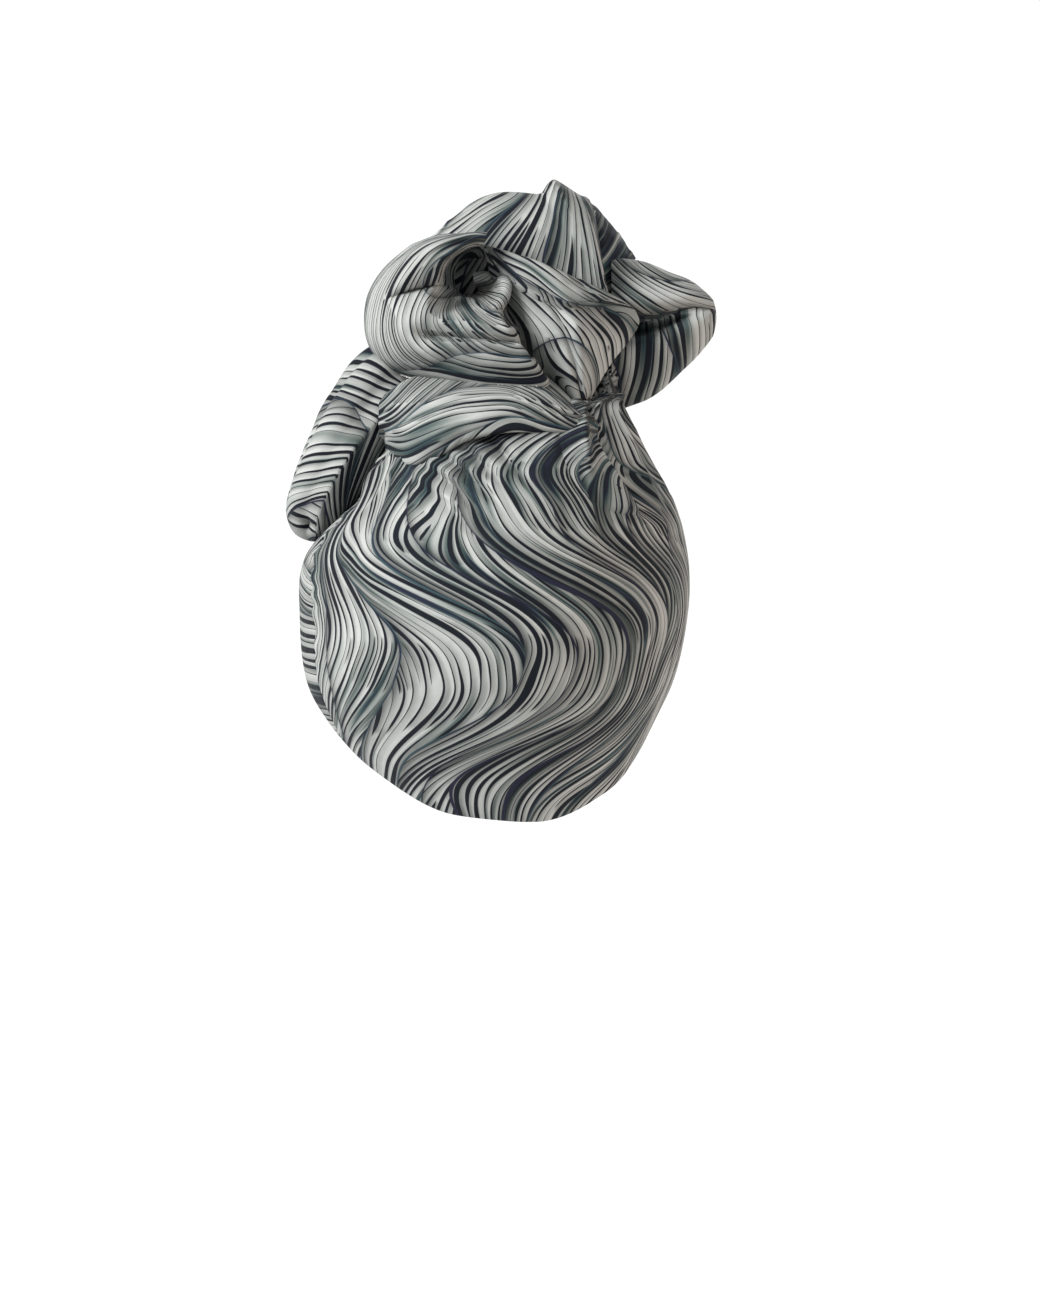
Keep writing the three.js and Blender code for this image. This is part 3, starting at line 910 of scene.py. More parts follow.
    def panel(self, first: float, last: float, rows: int, columns: int, offset: tuple[float, float]) -> Cloth:
        """One sewn panel.

        Args:
            first: Angle of its first seam, in degrees from the left ear.
            last: Angle of its last seam.
            rows: Grid rows from hem to tie.
            columns: Grid columns from seam to seam.
            offset: Where its print starts, in millimetres.

        Returns:
            The panel, with its hem and both seam edges turned in.
        """
        upward, around = spans(rows, columns)
        angle = np.radians(mix(first, last, around))
        places, lengths = self.lengths
        start = np.interp(self.sections.where("z", self.hem_height(angle)), places, lengths)
        length = mix(start, lengths[-1], upward)
        points = self.surface(np.interp(length, lengths, places), angle)
        relief = self.relief(points, angle)
        outward = np.stack([np.cos(angle), np.sin(angle), 0 * angle], -1)
        printed = self.printed(angle, length, length / lengths[-1], points[..., 2]) + np.array(offset)
        side, out, up = dressing_of(points)
        edge = self.pleat.at(self.pleat.where("z", up))["side"]
        past = (side > edge - 2) & (out > 0) & (up > 146)
        turned = smooth(146, 180, up) * (34.0 + 0.85 * (up - 150))
        printed[..., 0] += np.where(past, turned, 0.0)
        cloth = Cloth(points + outward * relief[..., None], printed).combed(*self.swing).face(outward)
        cloth = cloth.turned_under(Edge.FIRST_ROW, self.hem_turn, 9.0)
        cloth = cloth.turned_under(Edge.FIRST_COLUMN, 0.8, 4.0)
        return cloth.turned_under(Edge.LAST_COLUMN, 0.8, 4.0)

    def back(self) -> Cloth:
        """The back panel.

        Returns:
            The cloth.
        """
        first, last = self.seam_angle + self.seam_gap, 180 - self.seam_angle - self.seam_gap
        return self.panel(first, last, 165, 200, (0.0, 0.0))

    def front(self) -> Cloth:
        """The panel over the forehead, whose print runs across the head.

        Returns:
            The cloth.
        """
        first, last = -180 - self.seam_angle + self.seam_gap, self.seam_angle - self.seam_gap
        cloth = self.panel(first, last, 110, 190, (400.0, 0.0))
        cloth.printed = cloth.printed[..., ::-1] + np.array([700.0, 60.0])
        return cloth

    def pleat_flap(self) -> Cloth:
        """The pleat's upper layer: from its folded edge back to where it melts into the panel.

        Returns:
            The cloth.
        """
        down, inward = spans(60, 34)
        z = mix(209.5, 150.5, down)
        reach = np.radians(24) * inward
        angle = self.pleat_angle(z) - reach * smooth(0.0, 0.3, 1.3 - down)
        place = self.sections.where("z", z)
        points = self.surface(place, angle)
        lift = self.pleat.at(self.pleat.where("z", z))["lift"]
        outward = np.stack([np.cos(angle), np.sin(angle), 0 * angle], -1)
        sunk = smooth(0.25, 1.0, inward) + smooth(0.86, 1.0, down)
        height = self.relief(points, angle) + mix(lift, -1.8, np.minimum(1.0, sunk))
        places, lengths = self.lengths
        length = np.interp(place, places, lengths)
        printed = self.printed(angle, length, length / lengths[-1], z)
        cloth = Cloth(points + outward * height[..., None], printed).combed(*self.swing)
        front = cloth.face(outward)
        edge = Edge.FIRST_COLUMN if front is cloth else Edge.LAST_COLUMN
        return front.turned_under(edge, 0.7, 5.0)


# ------------------------------------------------------------------ folds beside and across the crown
@dataclass
class CrownFold:
    """The folded flap that lies across the crown, below the knot."""

    cap: Cap
    rows: Table = Table(
        ("side", "top", "bottom", "top_out", "belly", "hang"),
        ((50, 199, 194, 54, 62, 3), (38, 212, 195, 40, 64, 4), (23, 223, 196, 34, 66, 5),
         (6, 224, 196, 34, 68, 8),
         (-13, 224, 192, 32, 66, 8), (-28, 223, 184, 29, 60, 7), (-42, 221, 180, 23, 52, 5),
         (-57, 211, 188, 16, 36, 4)))

    def cap_out(self, side: np.ndarray, up: np.ndarray) -> np.ndarray:
        """How far out the cap's back stands at a place seen from behind.

        Args:
            side: Distance to the right as an onlooker behind sees it, in millimetres.
            up: Height.

        Returns:
            How far the cap stands out there.
        """
        angles = np.radians(np.linspace(-12, 192, 200))
        place = self.cap.sections.where("z", up)
        points = self.cap.surface(place[..., None] + 0 * angles, angles + 0 * place[..., None])
        sides, outs, _ = dressing_of(points)
        flat_sides, flat_outs = sides.reshape(-1, 200), outs.reshape(-1, 200)
        found = [np.interp(s, a, b) for s, a, b in zip(side.ravel(), flat_sides, flat_outs)]
        return np.array(found).reshape(side.shape)

    def cloth(self) -> Cloth:
        """The flap, with both long edges folded under.

        Returns:
            The cloth.
        """
        along, down = spans(110, 40)
        row = self.rows.at(along * self.rows.last)
        up = mix(row["top"], row["bottom"], down)
        hem = self.cap_out(row["side"], row["bottom"]) + row["hang"]
        over = np.sin(math.pi / 2 * np.minimum(1.0, down * 1.3))
        belly = mix(row["top_out"], np.maximum(row["belly"], hem - 2), over)
        out = mix(belly, hem, smooth(0.5, 1.0, down))
        creases = 2.2 * bump(down, 0.40 + 0.12 * np.sin(along * 5), 0.08)
        creases = creases - 2.4 * bump(down, 0.66 - 0.25 * along, 0.06) * smooth(0.95, 0.7, along)
        points = dressed(row["side"], out + creases, up)
        side = row["side"]
        past = (side - 8 + np.sqrt((side - 8) ** 2 + 60.0)) / 2
        wrapped = -44.0 * down - 0.55 * side + 1.25 * past
        printed = np.stack([wrapped + 1210.0, side * 1.05 + 330.0], -1)
        cloth = Cloth(points, printed).combed(12.0, 33, 60.0).face(dressed(0, 1, 0.3))
        cloth = cloth.crumpled(0.9, 16.0, 31)
        lower = Edge.LAST_COLUMN if cloth.points[0, -1, 2] < cloth.points[0, 0, 2] else Edge.FIRST_COLUMN
        upper = Edge.FIRST_COLUMN if lower is Edge.LAST_COLUMN else Edge.LAST_COLUMN
        cloth = cloth.turned_under(lower, 1.5, 8.0)
        return cloth.turned_under(upper, 1.2, 4.0)


@dataclass
class SideRoll:
    """The roll that comes off the knot and lies down the side of the head."""

    ridge: float = 1.95
    rows: Table = Table(
        ("side", "out", "up", "width", "thick"),
        ((-6, -22, 234, 12, 12), (-34, -16, 231, 15, 15), (-54, -6, 221, 18, 18), (-66, 4, 202, 19.5, 19),
         (-79, 12, 179, 18, 18), (-89, 10, 157, 15.5, 16), (-92, 6, 141, 12.5, 13)))

    def cloth(self) -> Cloth:
        """The roll: a loop of cloth with a folded ridge, drawn together at its lower end.

        Returns:
            The cloth.
        """
        count, rounds = 150, 120
        along, around = np.meshgrid(np.linspace(0, 1, count), np.arange(rounds) / rounds, indexing="ij")
        row = self.rows.at(along * self.rows.last)
        spine = dressed(row["side"], row["out"], row["up"])
        tangent = np.gradient(spine, axis=0)
        tangent /= np.linalg.norm(tangent, axis=-1, keepdims=True)
        across = np.cross(tangent, dressed(0.0, 1.0, 0.0))
        across /= np.linalg.norm(across, axis=-1, keepdims=True)
        facing = np.cross(tangent, across)
        facing *= np.sign((facing * dressed(0.0, 1.0, 0.0)).sum(-1, keepdims=True))
        turn = 2 * math.pi * around
        wander = self.ridge + 0.22 * np.sin(along * 6.0)
        from_ridge = (turn - wander + math.pi) % (2 * math.pi) - math.pi
        fold = 0.09 * np.exp(-np.abs(from_ridge) / 0.16) - 0.10 * bump(from_ridge, -0.42, 0.26)
        second = -0.12 * bump(from_ridge, 1.5 + 0.5 * along, 0.16) - 0.1 * bump(from_ridge, -1.6, 0.2)
        closing = np.sqrt(np.clip(1 - np.clip((along - 0.84) / 0.155, 0, 1) ** 2, 0, 1)) * 0.985 + 0.015
        eye = bump(along, 0.885, 0.028) * bump(from_ridge, -0.35, 0.22)
        size = (1 + fold + second) * closing * (1 - 0.42 * eye)
        lobes = 0.035 * drift(np.stack([along * 9, np.cos(turn), np.sin(turn)], -1), 0.8, 41)
        size = size * (1 + lobes)
        points = spine + across * (row["width"] * size * np.cos(turn))[..., None]
        points = points + facing * (row["thick"] * size * np.sin(turn))[..., None]
        length = np.cumsum(np.linalg.norm(np.gradient(spine, axis=0), axis=-1), 0)
        run = from_ridge * 17.0
        beside = np.where(run < 0, 0.30 * run, -1.9 * run)
        printed = np.stack([0.92 * length + beside + 820.0, run * 0.9 + 0.35 * length + 140.0], -1)
        return Cloth(points, printed, loop=True).combed(9.0, 43, 50.0)


# ------------------------------------------------------------------ the knot
@dataclass
class Knot:
    """The leaves of cloth that are looped and folded over the tie."""

    eye: tuple[float, float] = (-10.0, 268.0)
    fan_point: tuple[float, float, float] = (57.0, -16.0, 259.0)
    throat_depth: float = 34.0
    peak: tuple[float, float] = (34.0, 334.0)
    rosette_rows: Table = Table(
        ("sweep", "hollow", "rim", "rim_out", "crest", "throat"),
        ((76, 19, 26, 20, 39, 24), (112, 16, 27, 14, 46, 18), (150, 15, 38, 3, 50, 16),
         (190, 12, 55, -7, 50, 18), (220, 10, 60.5, 2, 50, 26), (250, 8, 51.5, 30, 56, 32),
         (280, 10, 52, 52, 62, 38), (304, 16, 62, 56, 63, 48)))
    centre_rows: Table = Table(
        ("start", "start_up", "end", "end_up", "start_out", "belly", "end_out"),
        ((-5, 285, 69, 256, 20, 34, 16), (0, 268, 71, 249, 22, 44, 18), (8, 250, 66, 240, 25, 50, 20),
         (18, 232, 58, 230, 31, 50, 26), (27, 219, 51, 219, 36, 48, 34), (36, 211, 46, 211, 42, 45, 42)))
    fan_rows: Table = Table(
        ("pleat", "reach", "depth"),
        ((60, 26, 24), (84, 36, 30), (104, 53, 34), (115, 62, 34), (124, 61, 34), (142, 79, 34),
         (154, 90, 32), (165, 99, 28), (176, 101, 22)))
    wing_rows: Table = Table(
        ("side", "bottom", "top", "depth", "out"),
        ((58, 207, 281, 24, -12), (74, 211, 279, 25, -13), (86, 219, 275, 25, -13), (97, 229, 271, 23, -12),
         (106, 239, 264, 17, -11), (110.5, 246, 259, 9, -10)))
    neck_rows: Table = Table(
        ("up", "radius", "side", "out"),
        ((188, 9, 49, 28), (195, 11, 49, 31), (203, 12, 49, 29), (211, 14, 48, 22), (218, 16, 45, 10),
         (226, 19, 42, 6), (238, 27, 34, 2), (254, 33, 24, -2), (270, 29, 20, -6), (280, 16, 20, -8)))

    def rosette(self) -> Cloth:
        """The left leaf, swept round its dark hollow and ending in a raw corner.

        Returns:
            The cloth.
        """
        sweeping, reached = spans(190, 104)
        inward = np.minimum(1.0, reached / 0.76)
        deeper = np.maximum(0.0, reached - 0.76) / 0.24
        row = self.rosette_rows.at(sweeping * self.rosette_rows.last)
        closing = smooth(0.0, 0.5, deeper)
        sweep = np.radians(mix(row["sweep"], 190 + (row["sweep"] - 190) * 1.58, closing))
        hollow = row["hollow"] * mix(1.0, 0.55, deeper) * np.sqrt(np.clip(1 - deeper**6, 0.0, 1.0))
        radius = mix(row["rim"], hollow, inward**1.25)
        rise = np.sin(math.pi * np.minimum(0.5, inward * 0.9))
        lip = mix(0.86, 0.70, smooth(180, 215, row["sweep"]))
        out = mix(mix(row["rim_out"], row["crest"], rise), row["throat"], smooth(lip, 1.0, inward))
        out = out - self.throat_depth * deeper
        degrees = row["sweep"]
        valley = np.exp(-np.abs(degrees - 195 + 12 * inward) / 4.5)
        out = out - 12.0 * valley * smooth(0.2, 0.65, inward) * smooth(1.0, 0.7, deeper + inward - 0.1)
        out = out + 4.5 * bump(degrees, 214, 11) * smooth(0.2, 0.6, inward)
        low = smooth(208, 236, degrees)
        out = out + 5.5 * bump(inward, 0.76 + 0.0010 * (degrees - 250), 0.08) * low
        out = out - 5.0 * bump(inward, 0.59 + 0.0012 * (degrees - 250), 0.045) * low
        out = out + 3.5 * bump(inward, 0.40, 0.10) * low
        points = dressed(self.eye[0] + radius * np.cos(sweep), out, self.eye[1] + radius * np.sin(sweep))
        printed = np.stack([reached * 62.0 + 1480.0 + 8 * np.sin(sweep), -sweep * 34.0 + 90.0], -1)
        cloth = Cloth(points, printed).combed(11.0, 53, 60.0).face(dressed(0, 1, 0)).crumpled(1.6, 17.0, 51)
        cloth = cloth.turned_under(Edge.LAST_ROW, 2.4, 9.0)
        return cloth

    def centre(self) -> Cloth:
        """The middle leaf: a puffed shield with a folded upper edge.

        Returns:
            The cloth.
        """
        down, across = spans(100, 90)
        row = self.centre_rows.at(down * self.centre_rows.last)
        arch = np.sin(math.pi * across) ** 0.8
        edge = mix(row["start_out"] - 9.0 * smooth(0.15, 0.4, down), row["end_out"], across)
        out = mix(edge, row["belly"], arch)
        out = out - 3.0 * bump(across, 0.30 + 0.35 * down, 0.05) * smooth(0.05, 0.3, down)
        out = out + 1.8 * bump(across, 0.42 + 0.35 * down, 0.08)
        out = out - 2.2 * bump(across - 0.55 * down, 0.62, 0.045) * smooth(0.8, 0.5, down)
        tongue = smooth(0.03, -0.02, down - 0.27 * np.sin(math.pi * np.clip(across, 0, 1) ** 0.8))
        out = out + 5.0 * tongue * smooth(0.0, 0.25, across) * smooth(1.0, 0.8, across)
        up = mix(row["start_up"], row["end_up"], across) + 3 * arch * (1 - down)
        points = dressed(mix(row["start"], row["end"], across), out, up)
        side, height = mix(row["start"], row["end"], across), up + (out - 30) * 0.12
        lean = mix(0.30, 0.46, smooth(0.0, 0.6, down))
        shown = -(height + lean * side) * 0.95 + 14.0 * np.sin(math.pi * across) * smooth(0.2, 0.5, down)
        folded = -(height + 0.48 * side) * 1.1 + 46.0
        printed = np.stack([mix(shown, folded, tongue) + 1750.0, side - 0.45 * height + 500.0], -1)
        cloth = Cloth(points, printed).combed(9.0, 63, 55.0).face(dressed(0, 1, 0)).crumpled(1.0, 17.0, 61)
        cloth = cloth.turned_under(Edge.FIRST_ROW, 1.3, 6.0)
        cloth = cloth.turned_under(Edge.LAST_COLUMN, 1.3, 4.0)
        return cloth.turned_under(Edge.FIRST_COLUMN, 1.3, 4.0)

    def fan(self) -> Cloth:
        """The back leaf: a fan pleated from one point and doubled over behind.

        Returns:
            The cloth.
        """
        along, over = spans(170, 120)
        row = self.fan_rows.at(along * self.fan_rows.last)
        pleat = np.radians(row["pleat"])
        turn = math.pi * mix(0.0, 0.95, over)
        reach = row["reach"] * np.sin(turn) ** 0.9
        side, out, up = self.fan_point
        behind = 15.0 * smooth(103.5, 100.5, row["pleat"]) * smooth(0.75, 0.4, over)
        folds = 1 - 2 * np.abs(drift(np.stack([row["pleat"] * 0.14, over * 0.6], -1), 1.0, 71))
        reach = reach + 1.3 * folds * np.sin(turn)
        reach = reach + 5.0 * np.exp(-np.abs(row["pleat"] - 114.0) / 5.0) * np.sin(turn) ** 3
        reach = reach + 5.5 * bump(row["pleat"], 134.0, 13.0) * np.sin(turn) ** 2
        points = dressed(side + reach * np.cos(pleat), out + row["depth"] * np.cos(turn) - behind,
                         up + reach * np.sin(pleat))
        sides, _, ups = dressing_of(points)
        below = np.arctan2(sides - self.peak[0], self.peak[1] - ups)
        far = np.hypot(sides - self.peak[0], self.peak[1] - ups)
        face = np.stack([below * 70.0 + 2050.0, far + 250.0 + 60 * over], -1)
        beside = np.stack([far * 0.9 - 12 * below + 2250.0, below * 60.0], -1)
        printed = np.where((row["pleat"] < 102)[..., None], beside, face)
        cloth = Cloth(points, printed).combed(10.0, 75, 60.0).face(points - dressed(10.0, -16.0, 262.0))
        return cloth.crumpled(1.2, 19.0, 73)

    def wing(self) -> Cloth:
        """The loop that stands out to the right, open towards the knot.

        Returns:
            The cloth.
        """
        count, rounds = 90, 130
        along, around = np.meshgrid(np.linspace(0, 1, count), np.arange(rounds) / rounds, indexing="ij")
        row = self.wing_rows.at(along * self.wing_rows.last)
        turn = 2 * math.pi * around
        lift, outward = np.sin(turn), np.cos(turn)
        front = smooth(0.0, 0.3, outward)
        crease = 0.34 * bump(lift, 0.12 + 0.34 * along, 0.14) - 0.10 * bump(lift, 0.42 + 0.3 * along, 0.2)
        pocket = 0.72 * bump(lift, -0.04 + 0.22 * along, 0.10) * smooth(0.8, 0.3, along)
        folds = 0.05 * drift(np.stack([lift * 2.4, along * 2.2, outward], -1), 0.8, 81)
        depth = row["depth"] * outward * (1 - front * (crease + pocket) + folds)
        closing = np.sqrt(np.clip(1 - np.clip((along - 0.9) / 0.1, 0, 1) ** 2, 0, 1)) * 0.97 + 0.03
        middle = (row["bottom"] + row["top"]) / 2
        half = (row["top"] - row["bottom"]) / 2
        points = dressed(row["side"], row["out"] + depth * closing, middle + half * closing * lift)
        upper = lift - (0.12 + 0.34 * along) > 0
        side, height = row["side"], middle + half * lift
        above = np.stack([height * 0.92 + 0.42 * side, side], -1)
        below = np.stack([side * 0.95 - 0.28 * height, height], -1)
        printed = np.where(upper[..., None], above, below + 160.0)
        cloth = Cloth(points, printed + np.array([2400.0, 410.0]), loop=True)
        return cloth.combed(10.0, 85, 60.0).crumpled(0.9, 15.0, 83)

    def neck(self) -> Cloth:
        """The gathered cloth inside the knot, over the tie.

        Returns:
            The cloth.
        """
        count, rounds = 90, 190
        along, around = np.meshgrid(np.linspace(0, 1, count), np.arange(rounds) / rounds, indexing="ij")
        row = self.neck_rows.at(along * self.neck_rows.last)
        turn = 2 * math.pi * around
        twisted = turn + 1.3 * along
        ring = np.stack([np.cos(twisted) * 2.4, np.sin(twisted) * 2.4, along * 0.5], -1)
        ribs = 0.26 * (1 - 2.6 * np.abs(drift(ring, 0.6, 91)))
        radius = row["radius"] * (0.82 + ribs)
        centre = dressed(row["side"], row["out"], row["up"])
        ringed = np.stack([np.cos(turn), np.sin(turn), 0 * turn], -1)
        printed = np.stack([turn * 62.0 + 2700.0, along * 110.0 + 35 * turn], -1)
        return Cloth(centre + ringed * radius[..., None], printed, loop=True)

    def raw_edge(self, rosette: Cloth) -> tuple[np.ndarray, np.ndarray]:
        """The rosette's raw lower edge, where the overlocking runs.

        Args:
            rosette: The finished rosette.

        Returns:
            Points along the edge, and the direction into the cloth at each.
        """
        heights = rosette.points[150, :, 2]
        edge, beside = (-1, -3) if heights[-1] < heights[0] else (0, 2)
        picked = slice(118, 186)
        path = rosette.points[picked, edge]
        inward = rosette.points[picked, beside] - path
        return path, inward / np.linalg.norm(inward, axis=-1, keepdims=True)


# ------------------------------------------------------------------ stitching
@dataclass(frozen=True)
class Overlock:
    """Overlocking thread that wraps a raw edge: slanting loops, with one chain along the edge."""

    spacing: float = 1.9
    reach: float = 2.6
    radius: float = 0.22

    def build(self, name: str, path: np.ndarray, inward: np.ndarray) -> bpy.types.Object:
        """Sew along an edge.

        Args:
            name: Name of the piece.
            path: Points along the edge, in millimetres.
            inward: Direction from the edge into the cloth.

        Returns:
            The piece of stitching.
        """
        mesh = bpy.data.meshes.new(name)
        points = path * MM
        points[:, 2] += NAPE
        links = [(k, k + 1) for k in range(len(points) - 1)]
        mesh.from_pydata(points.tolist(), links, [])
        into = mesh.attributes.new("inward", "FLOAT_VECTOR", "POINT")
        into.data.foreach_set("vector", inward.astype(np.float32).ravel())
        piece = bpy.data.objects.new(name, mesh)
        bpy.context.scene.collection.objects.link(piece)
        sewing = piece.modifiers.new("Sewing", "NODES")
        sewing.node_group = self._group()
        wanted = {"Spacing": self.spacing * MM, "Reach": self.reach * MM, "Radius": self.radius * MM,
                  "Thread": Thread().material()}
        for item in sewing.node_group.interface.items_tree:
            if item.in_out == "INPUT" and item.name in wanted:
                sewing[item.identifier] = wanted[item.name]
        settle(piece)
        return piece

    def _group(self) -> bpy.types.NodeTree:
        """Geometry nodes that set one slanting loop of thread at each step along the edge.

        Returns:
            The node group.
        """
        group = bpy.data.node_groups.new("Overlock", "GeometryNodeTree")
        face = group.interface
        face.new_socket("Geometry", in_out="INPUT", socket_type="NodeSocketGeometry")
        face.new_socket("Spacing", in_out="INPUT", socket_type="NodeSocketFloat")
        face.new_socket("Reach", in_out="INPUT", socket_type="NodeSocketFloat")
        face.new_socket("Radius", in_out="INPUT", socket_type="NodeSocketFloat")
        face.new_socket("Thread", in_out="INPUT", socket_type="NodeSocketMaterial")
        face.new_socket("Geometry", in_out="OUTPUT", socket_type="NodeSocketGeometry")
        sheet = NodeSheet(group)
        given = sheet.add("NodeGroupInput").outputs
        edge = sheet.add("GeometryNodeMeshToCurve", {0: given["Geometry"]})
        even = sheet.add("GeometryNodeResampleCurve", {0: edge.outputs[0]}, mode="LENGTH")
        sheet.tree.links.new(given["Spacing"], even.inputs["Length"])
        inward = sheet.add("GeometryNodeInputNamedAttribute", {0: "inward"}, data_type="FLOAT_VECTOR")
        tangent = sheet.add("GeometryNodeInputTangent")
        facing = sheet.add("FunctionNodeAxesToRotation", primary_axis="Y", secondary_axis="X")
        sheet.tree.links.new(inward.outputs[0], facing.inputs["Primary Axis"])
        sheet.tree.links.new(tangent.outputs[0], facing.inputs["Secondary Axis"])
        upright = self._upright(sheet, given)
        thread = self._thread(sheet, upright, given["Radius"])
        loops = sheet.add("GeometryNodeInstanceOnPoints", {0: even.outputs[0]})
        sheet.tree.links.new(thread, loops.inputs["Instance"])
        sheet.tree.links.new(facing.outputs[0], loops.inputs["Rotation"])
        scale = sheet.add("FunctionNodeRandomValue",
                          {"Min": (0.85, 0.8, 0.85), "Max": (1.1, 1.2, 1.1), "Seed": 5},
                          data_type="FLOAT_VECTOR")
        sheet.tree.links.new(scale.outputs[0], loops.inputs["Scale"])
        chain = self._thread(sheet, even.outputs[0], given["Radius"])
        joined = sheet.add("GeometryNodeJoinGeometry")
        sheet.tree.links.new(loops.outputs[0], joined.inputs[0])
        sheet.tree.links.new(chain, joined.inputs[0])
        real = sheet.add("GeometryNodeRealizeInstances", {0: joined.outputs[0]})
        dyed = sheet.add("GeometryNodeSetMaterial", {0: real.outputs[0], "Material": given["Thread"]})
        sheet.add("NodeGroupOutput", {0: dyed.outputs[0]})
        return group

    def _upright(self, sheet: NodeSheet, given: bpy.types.bpy_prop_collection) -> bpy.types.NodeSocket:
        """One slanting loop: an ellipse across the edge, leaning along it.

        Args:
            sheet: The group's nodes.
            given: The group's inputs.

        Returns:
            The loops' rotation.
        """
        loop = sheet.add("GeometryNodeCurvePrimitiveCircle", {"Resolution": 14, "Radius": 1.0})
        place = sheet.add("ShaderNodeSeparateXYZ", {0: sheet.add("GeometryNodeInputPosition").outputs[0]})
        into = sheet.sum("MULTIPLY", sheet.sum("MULTIPLY_ADD", place.outputs[0], 0.5, 0.38), given["Reach"])
        lean = sheet.sum("MULTIPLY", place.outputs[0], 0.0006)
        depth = sheet.sum("MULTIPLY", place.outputs[1], 0.00095)
        shaped = sheet.add("ShaderNodeCombineXYZ", {0: lean, 1: into, 2: depth})
        moved = sheet.add("GeometryNodeSetPosition", {0: loop.outputs[0]})
        sheet.tree.links.new(shaped.outputs[0], moved.inputs["Position"])
        return moved.outputs[0]

    def _thread(self, sheet: NodeSheet, curve: bpy.types.NodeSocket,
                radius: bpy.types.NodeSocket) -> bpy.types.NodeSocket:
        """Give a curve the thickness of the thread.

        Args:
            sheet: The group's nodes.
            curve: The thread's line.
            radius: The thread's radius.

        Returns:
            The thread's mesh.
        """
        section = sheet.add("GeometryNodeCurvePrimitiveCircle", {"Resolution": 6})
        sheet.tree.links.new(radius, section.inputs["Radius"])
        tube = sheet.add("GeometryNodeCurveToMesh", {0: curve, 1: section.outputs[0], "Fill Caps": True})
        return tube.outputs[0]


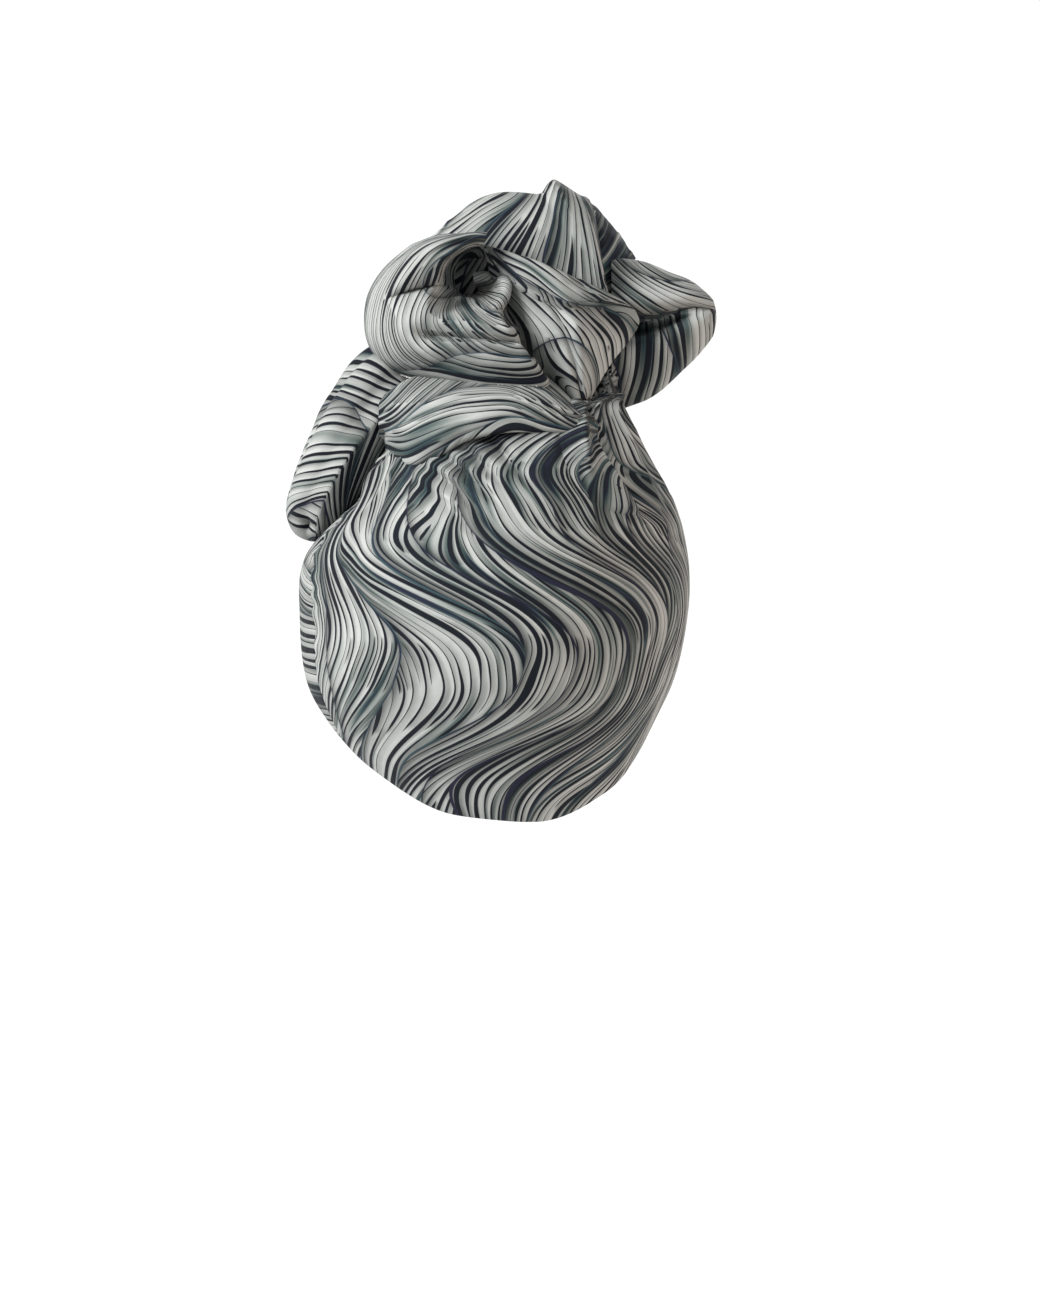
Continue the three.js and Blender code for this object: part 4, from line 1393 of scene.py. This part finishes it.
# ------------------------------------------------------------------ studio
@dataclass(frozen=True)
class Studio:
    """Pale floor, soft light and the camera."""

    azimuth: float = 168.0
    elevation: float = 2.0
    distance: float = 2.6
    lens: float = 144.0
    aim: tuple[float, float, float] = (12.5, 0.0, 86.0)
    floor_drop: float = 0.29

    def build(self) -> None:
        """Set up the floor, the lights, the world and the camera."""
        self._floor()
        self._world()
        self._softbox("key", azimuth=112.0, elevation=32.0, distance=1.5, size=0.7, power=37.0)
        self._softbox("top", azimuth=160.0, elevation=70.0, distance=1.5, size=0.8, power=2.5)
        self._softbox("warm", azimuth=236.0, elevation=-4.0, distance=1.1, size=0.5, power=3.8,
                      colour=(1.0, 0.60, 0.38))
        self._softbox("front", azimuth=335.0, elevation=32.0, distance=1.7, size=1.0, power=18.0)
        self._camera()

    def _towards(self, azimuth: float, elevation: float) -> np.ndarray:
        """Direction from the object to a place round it.

        Args:
            azimuth: Degrees round from the front.
            elevation: Degrees above level.

        Returns:
            The direction, as a unit vector.
        """
        a, e = math.radians(azimuth), math.radians(elevation)
        return np.array([math.sin(a) * math.cos(e), -math.cos(a) * math.cos(e), math.sin(e)])

    def _aim(self) -> np.ndarray:
        """The point that the camera and lights look at, in metres.

        Returns:
            The point that the camera and lamps look at, in metres.
        """
        point = dressed(*[np.array(v) for v in self.aim]) * MM
        return point + np.array([0.0, 0.0, NAPE])

    def _place(self, thing: bpy.types.Object, spot: np.ndarray) -> None:
        """Put a light or camera at a spot, looking at the aim.

        Args:
            thing: A camera or lamp.
            spot: Where it stands.
        """
        thing.location = spot
        thing.rotation_euler = Vector(self._aim() - spot).to_track_quat("-Z", "Y").to_euler()
        bpy.context.scene.collection.objects.link(thing)

    def _softbox(self, name: str, azimuth: float, elevation: float, distance: float,
                 size: float, power: float, colour: tuple[float, ...] = (1.0, 1.0, 1.0)) -> None:
        """Add one square softbox.

        Args:
            name: Name of the lamp.
            azimuth: Degrees round from the front.
            elevation: Degrees above level.
            distance: Distance from the aim, in metres.
            size: Side of its panel.
            power: Watts.
            colour: Its colour.
        """
        light = bpy.data.lights.new(name, "AREA")
        light.color = colour
        light.shape, light.size, light.energy = "SQUARE", size, power
        spot = self._aim() + self._towards(azimuth, elevation) * distance
        self._place(bpy.data.objects.new(name, light), spot)

    def _camera(self) -> None:
        """Add the camera."""
        lens = bpy.data.cameras.new("camera")
        lens.lens = self.lens
        lens.clip_start, lens.clip_end = 0.05, 50.0
        camera = bpy.data.objects.new("camera", lens)
        self._place(camera, self._aim() + self._towards(self.azimuth, self.elevation) * self.distance)
        bpy.context.scene.camera = camera

    def _floor(self) -> None:
        """A wide pale floor that curves up all round into a wall."""
        start, bend = 1.8, 3.0
        curve = [(start + bend * math.sin(t), bend * (1 - math.cos(t))) for t in np.linspace(0.04, 1.57, 28)]
        profile = [(0.0, 0.0), (start, 0.0)] + curve + [(start + bend, bend + 1.2)]
        rounds = 96
        points, faces = [], []
        for radius, height in profile[1:]:
            for k in range(rounds):
                turn = 2 * math.pi * k / rounds
                level = NAPE - self.floor_drop + height
                points.append((radius * math.cos(turn), radius * math.sin(turn), level))
        rings = len(profile) - 1
        for r in range(rings - 1):
            for k in range(rounds):
                n = (k + 1) % rounds
                faces.append((r * rounds + k, (r + 1) * rounds + k, (r + 1) * rounds + n, r * rounds + n))
        faces.append(tuple(range(rounds)))
        mesh = bpy.data.meshes.new("floor")
        mesh.from_pydata(points, [], faces)
        mesh.polygons.foreach_set("use_smooth", [True] * len(mesh.polygons))
        floor = bpy.data.objects.new("floor", mesh)
        bpy.context.scene.collection.objects.link(floor)
        made = bpy.data.materials.new("pale_floor")
        made.use_nodes = True
        paint = made.node_tree.nodes["Principled BSDF"]
        paint.inputs["Base Color"].default_value = (0.3, 0.3, 0.3, 1.0)
        paint.inputs["Roughness"].default_value = 0.9
        paint.inputs["Emission Color"].default_value = (1.0, 1.0, 1.0, 1.0)
        paint.inputs["Emission Strength"].default_value = 0.8
        mesh.materials.append(made)

    def _world(self) -> None:
        """Even pale light from above."""
        world = bpy.data.worlds.new("studio")
        world.use_nodes = True
        back = world.node_tree.nodes["Background"]
        back.inputs[0].default_value = (1.0, 1.0, 1.0, 1.0)
        back.inputs[1].default_value = 0.26
        bpy.context.scene.world = world
        bpy.context.scene.view_settings.view_transform = "Standard"


# ------------------------------------------------------------------ the headwrap
class Held(Enum):
    """How a piece of cloth is held."""

    STRETCHED = "stretched"
    GATHERED = "gathered"
    FOLDED = "folded"


@dataclass
class Headwrap:
    """The whole headwrap."""

    cap: Cap = field(default_factory=Cap)
    knot: Knot = field(default_factory=Knot)
    finish: FlowPrint = field(default_factory=FlowPrint)

    def build(self) -> None:
        """Make every piece, dress it and hide the node of the frame that it stands for."""
        printed = self.finish.material()
        self._piece("back_cloth", self.cap.back(), "back_panel", printed)
        self._piece("pleat_cloth", self.cap.pleat_flap(), "back_panel", printed)
        self._piece("front_cloth", self.cap.front(), "front_panel", printed)
        crown = CrownFold(self.cap).cloth()
        self._piece("crown_cloth", crown, "crown_fold", printed)
        self._piece("roll_cloth", SideRoll().cloth(), "side_roll", printed)
        rosette = self.knot.rosette()
        self._piece("rosette_cloth", rosette, "rosette_leaf", printed)
        overlock = Overlock().build("rosette_overlock", *self.knot.raw_edge(rosette))
        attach(overlock, "root")
        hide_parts("rosette_leaf")
        self._piece("centre_cloth", self.knot.centre(), "centre_leaf", printed)
        self._piece("fan_cloth", self.knot.fan(), "back_leaf", printed)
        self._piece("wing_cloth", self.knot.wing(), "wing_leaf", printed)
        self._piece("neck_cloth", self.knot.neck(), "knot_neck", printed)

    def _piece(self, name: str, cloth: Cloth, node: str,
               finish: bpy.types.Material) -> None:
        """Make one piece of cloth in place of a node of the frame.

        Args:
            name: Name of the piece.
            cloth: Its surface.
            node: The node of the frame it stands for.
            finish: Its material.
        """
        piece = cloth_object(name, cloth)
        piece.data.materials.append(finish)
        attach(piece, "root")
        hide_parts(node)
        along = np.linalg.norm(np.diff(cloth.points, axis=0), axis=-1).sum(0).mean() * MM
        rounds = np.concatenate([cloth.points, cloth.points[:, :1]], axis=1) if cloth.loop else cloth.points
        across = np.linalg.norm(np.diff(rounds, axis=1), axis=-1).sum(1).mean() * MM
        LOG.info("%s: %d faces, flat %.3f by %.3f m", name, len(piece.data.polygons), across, along)


def main() -> None:
    """Build the studio and the headwrap, and report each piece."""
    logging.basicConfig(level=logging.INFO, format="%(name)s: %(message)s")
    Studio().build()
    Headwrap().build()


if __name__ == "__main__":
    main()
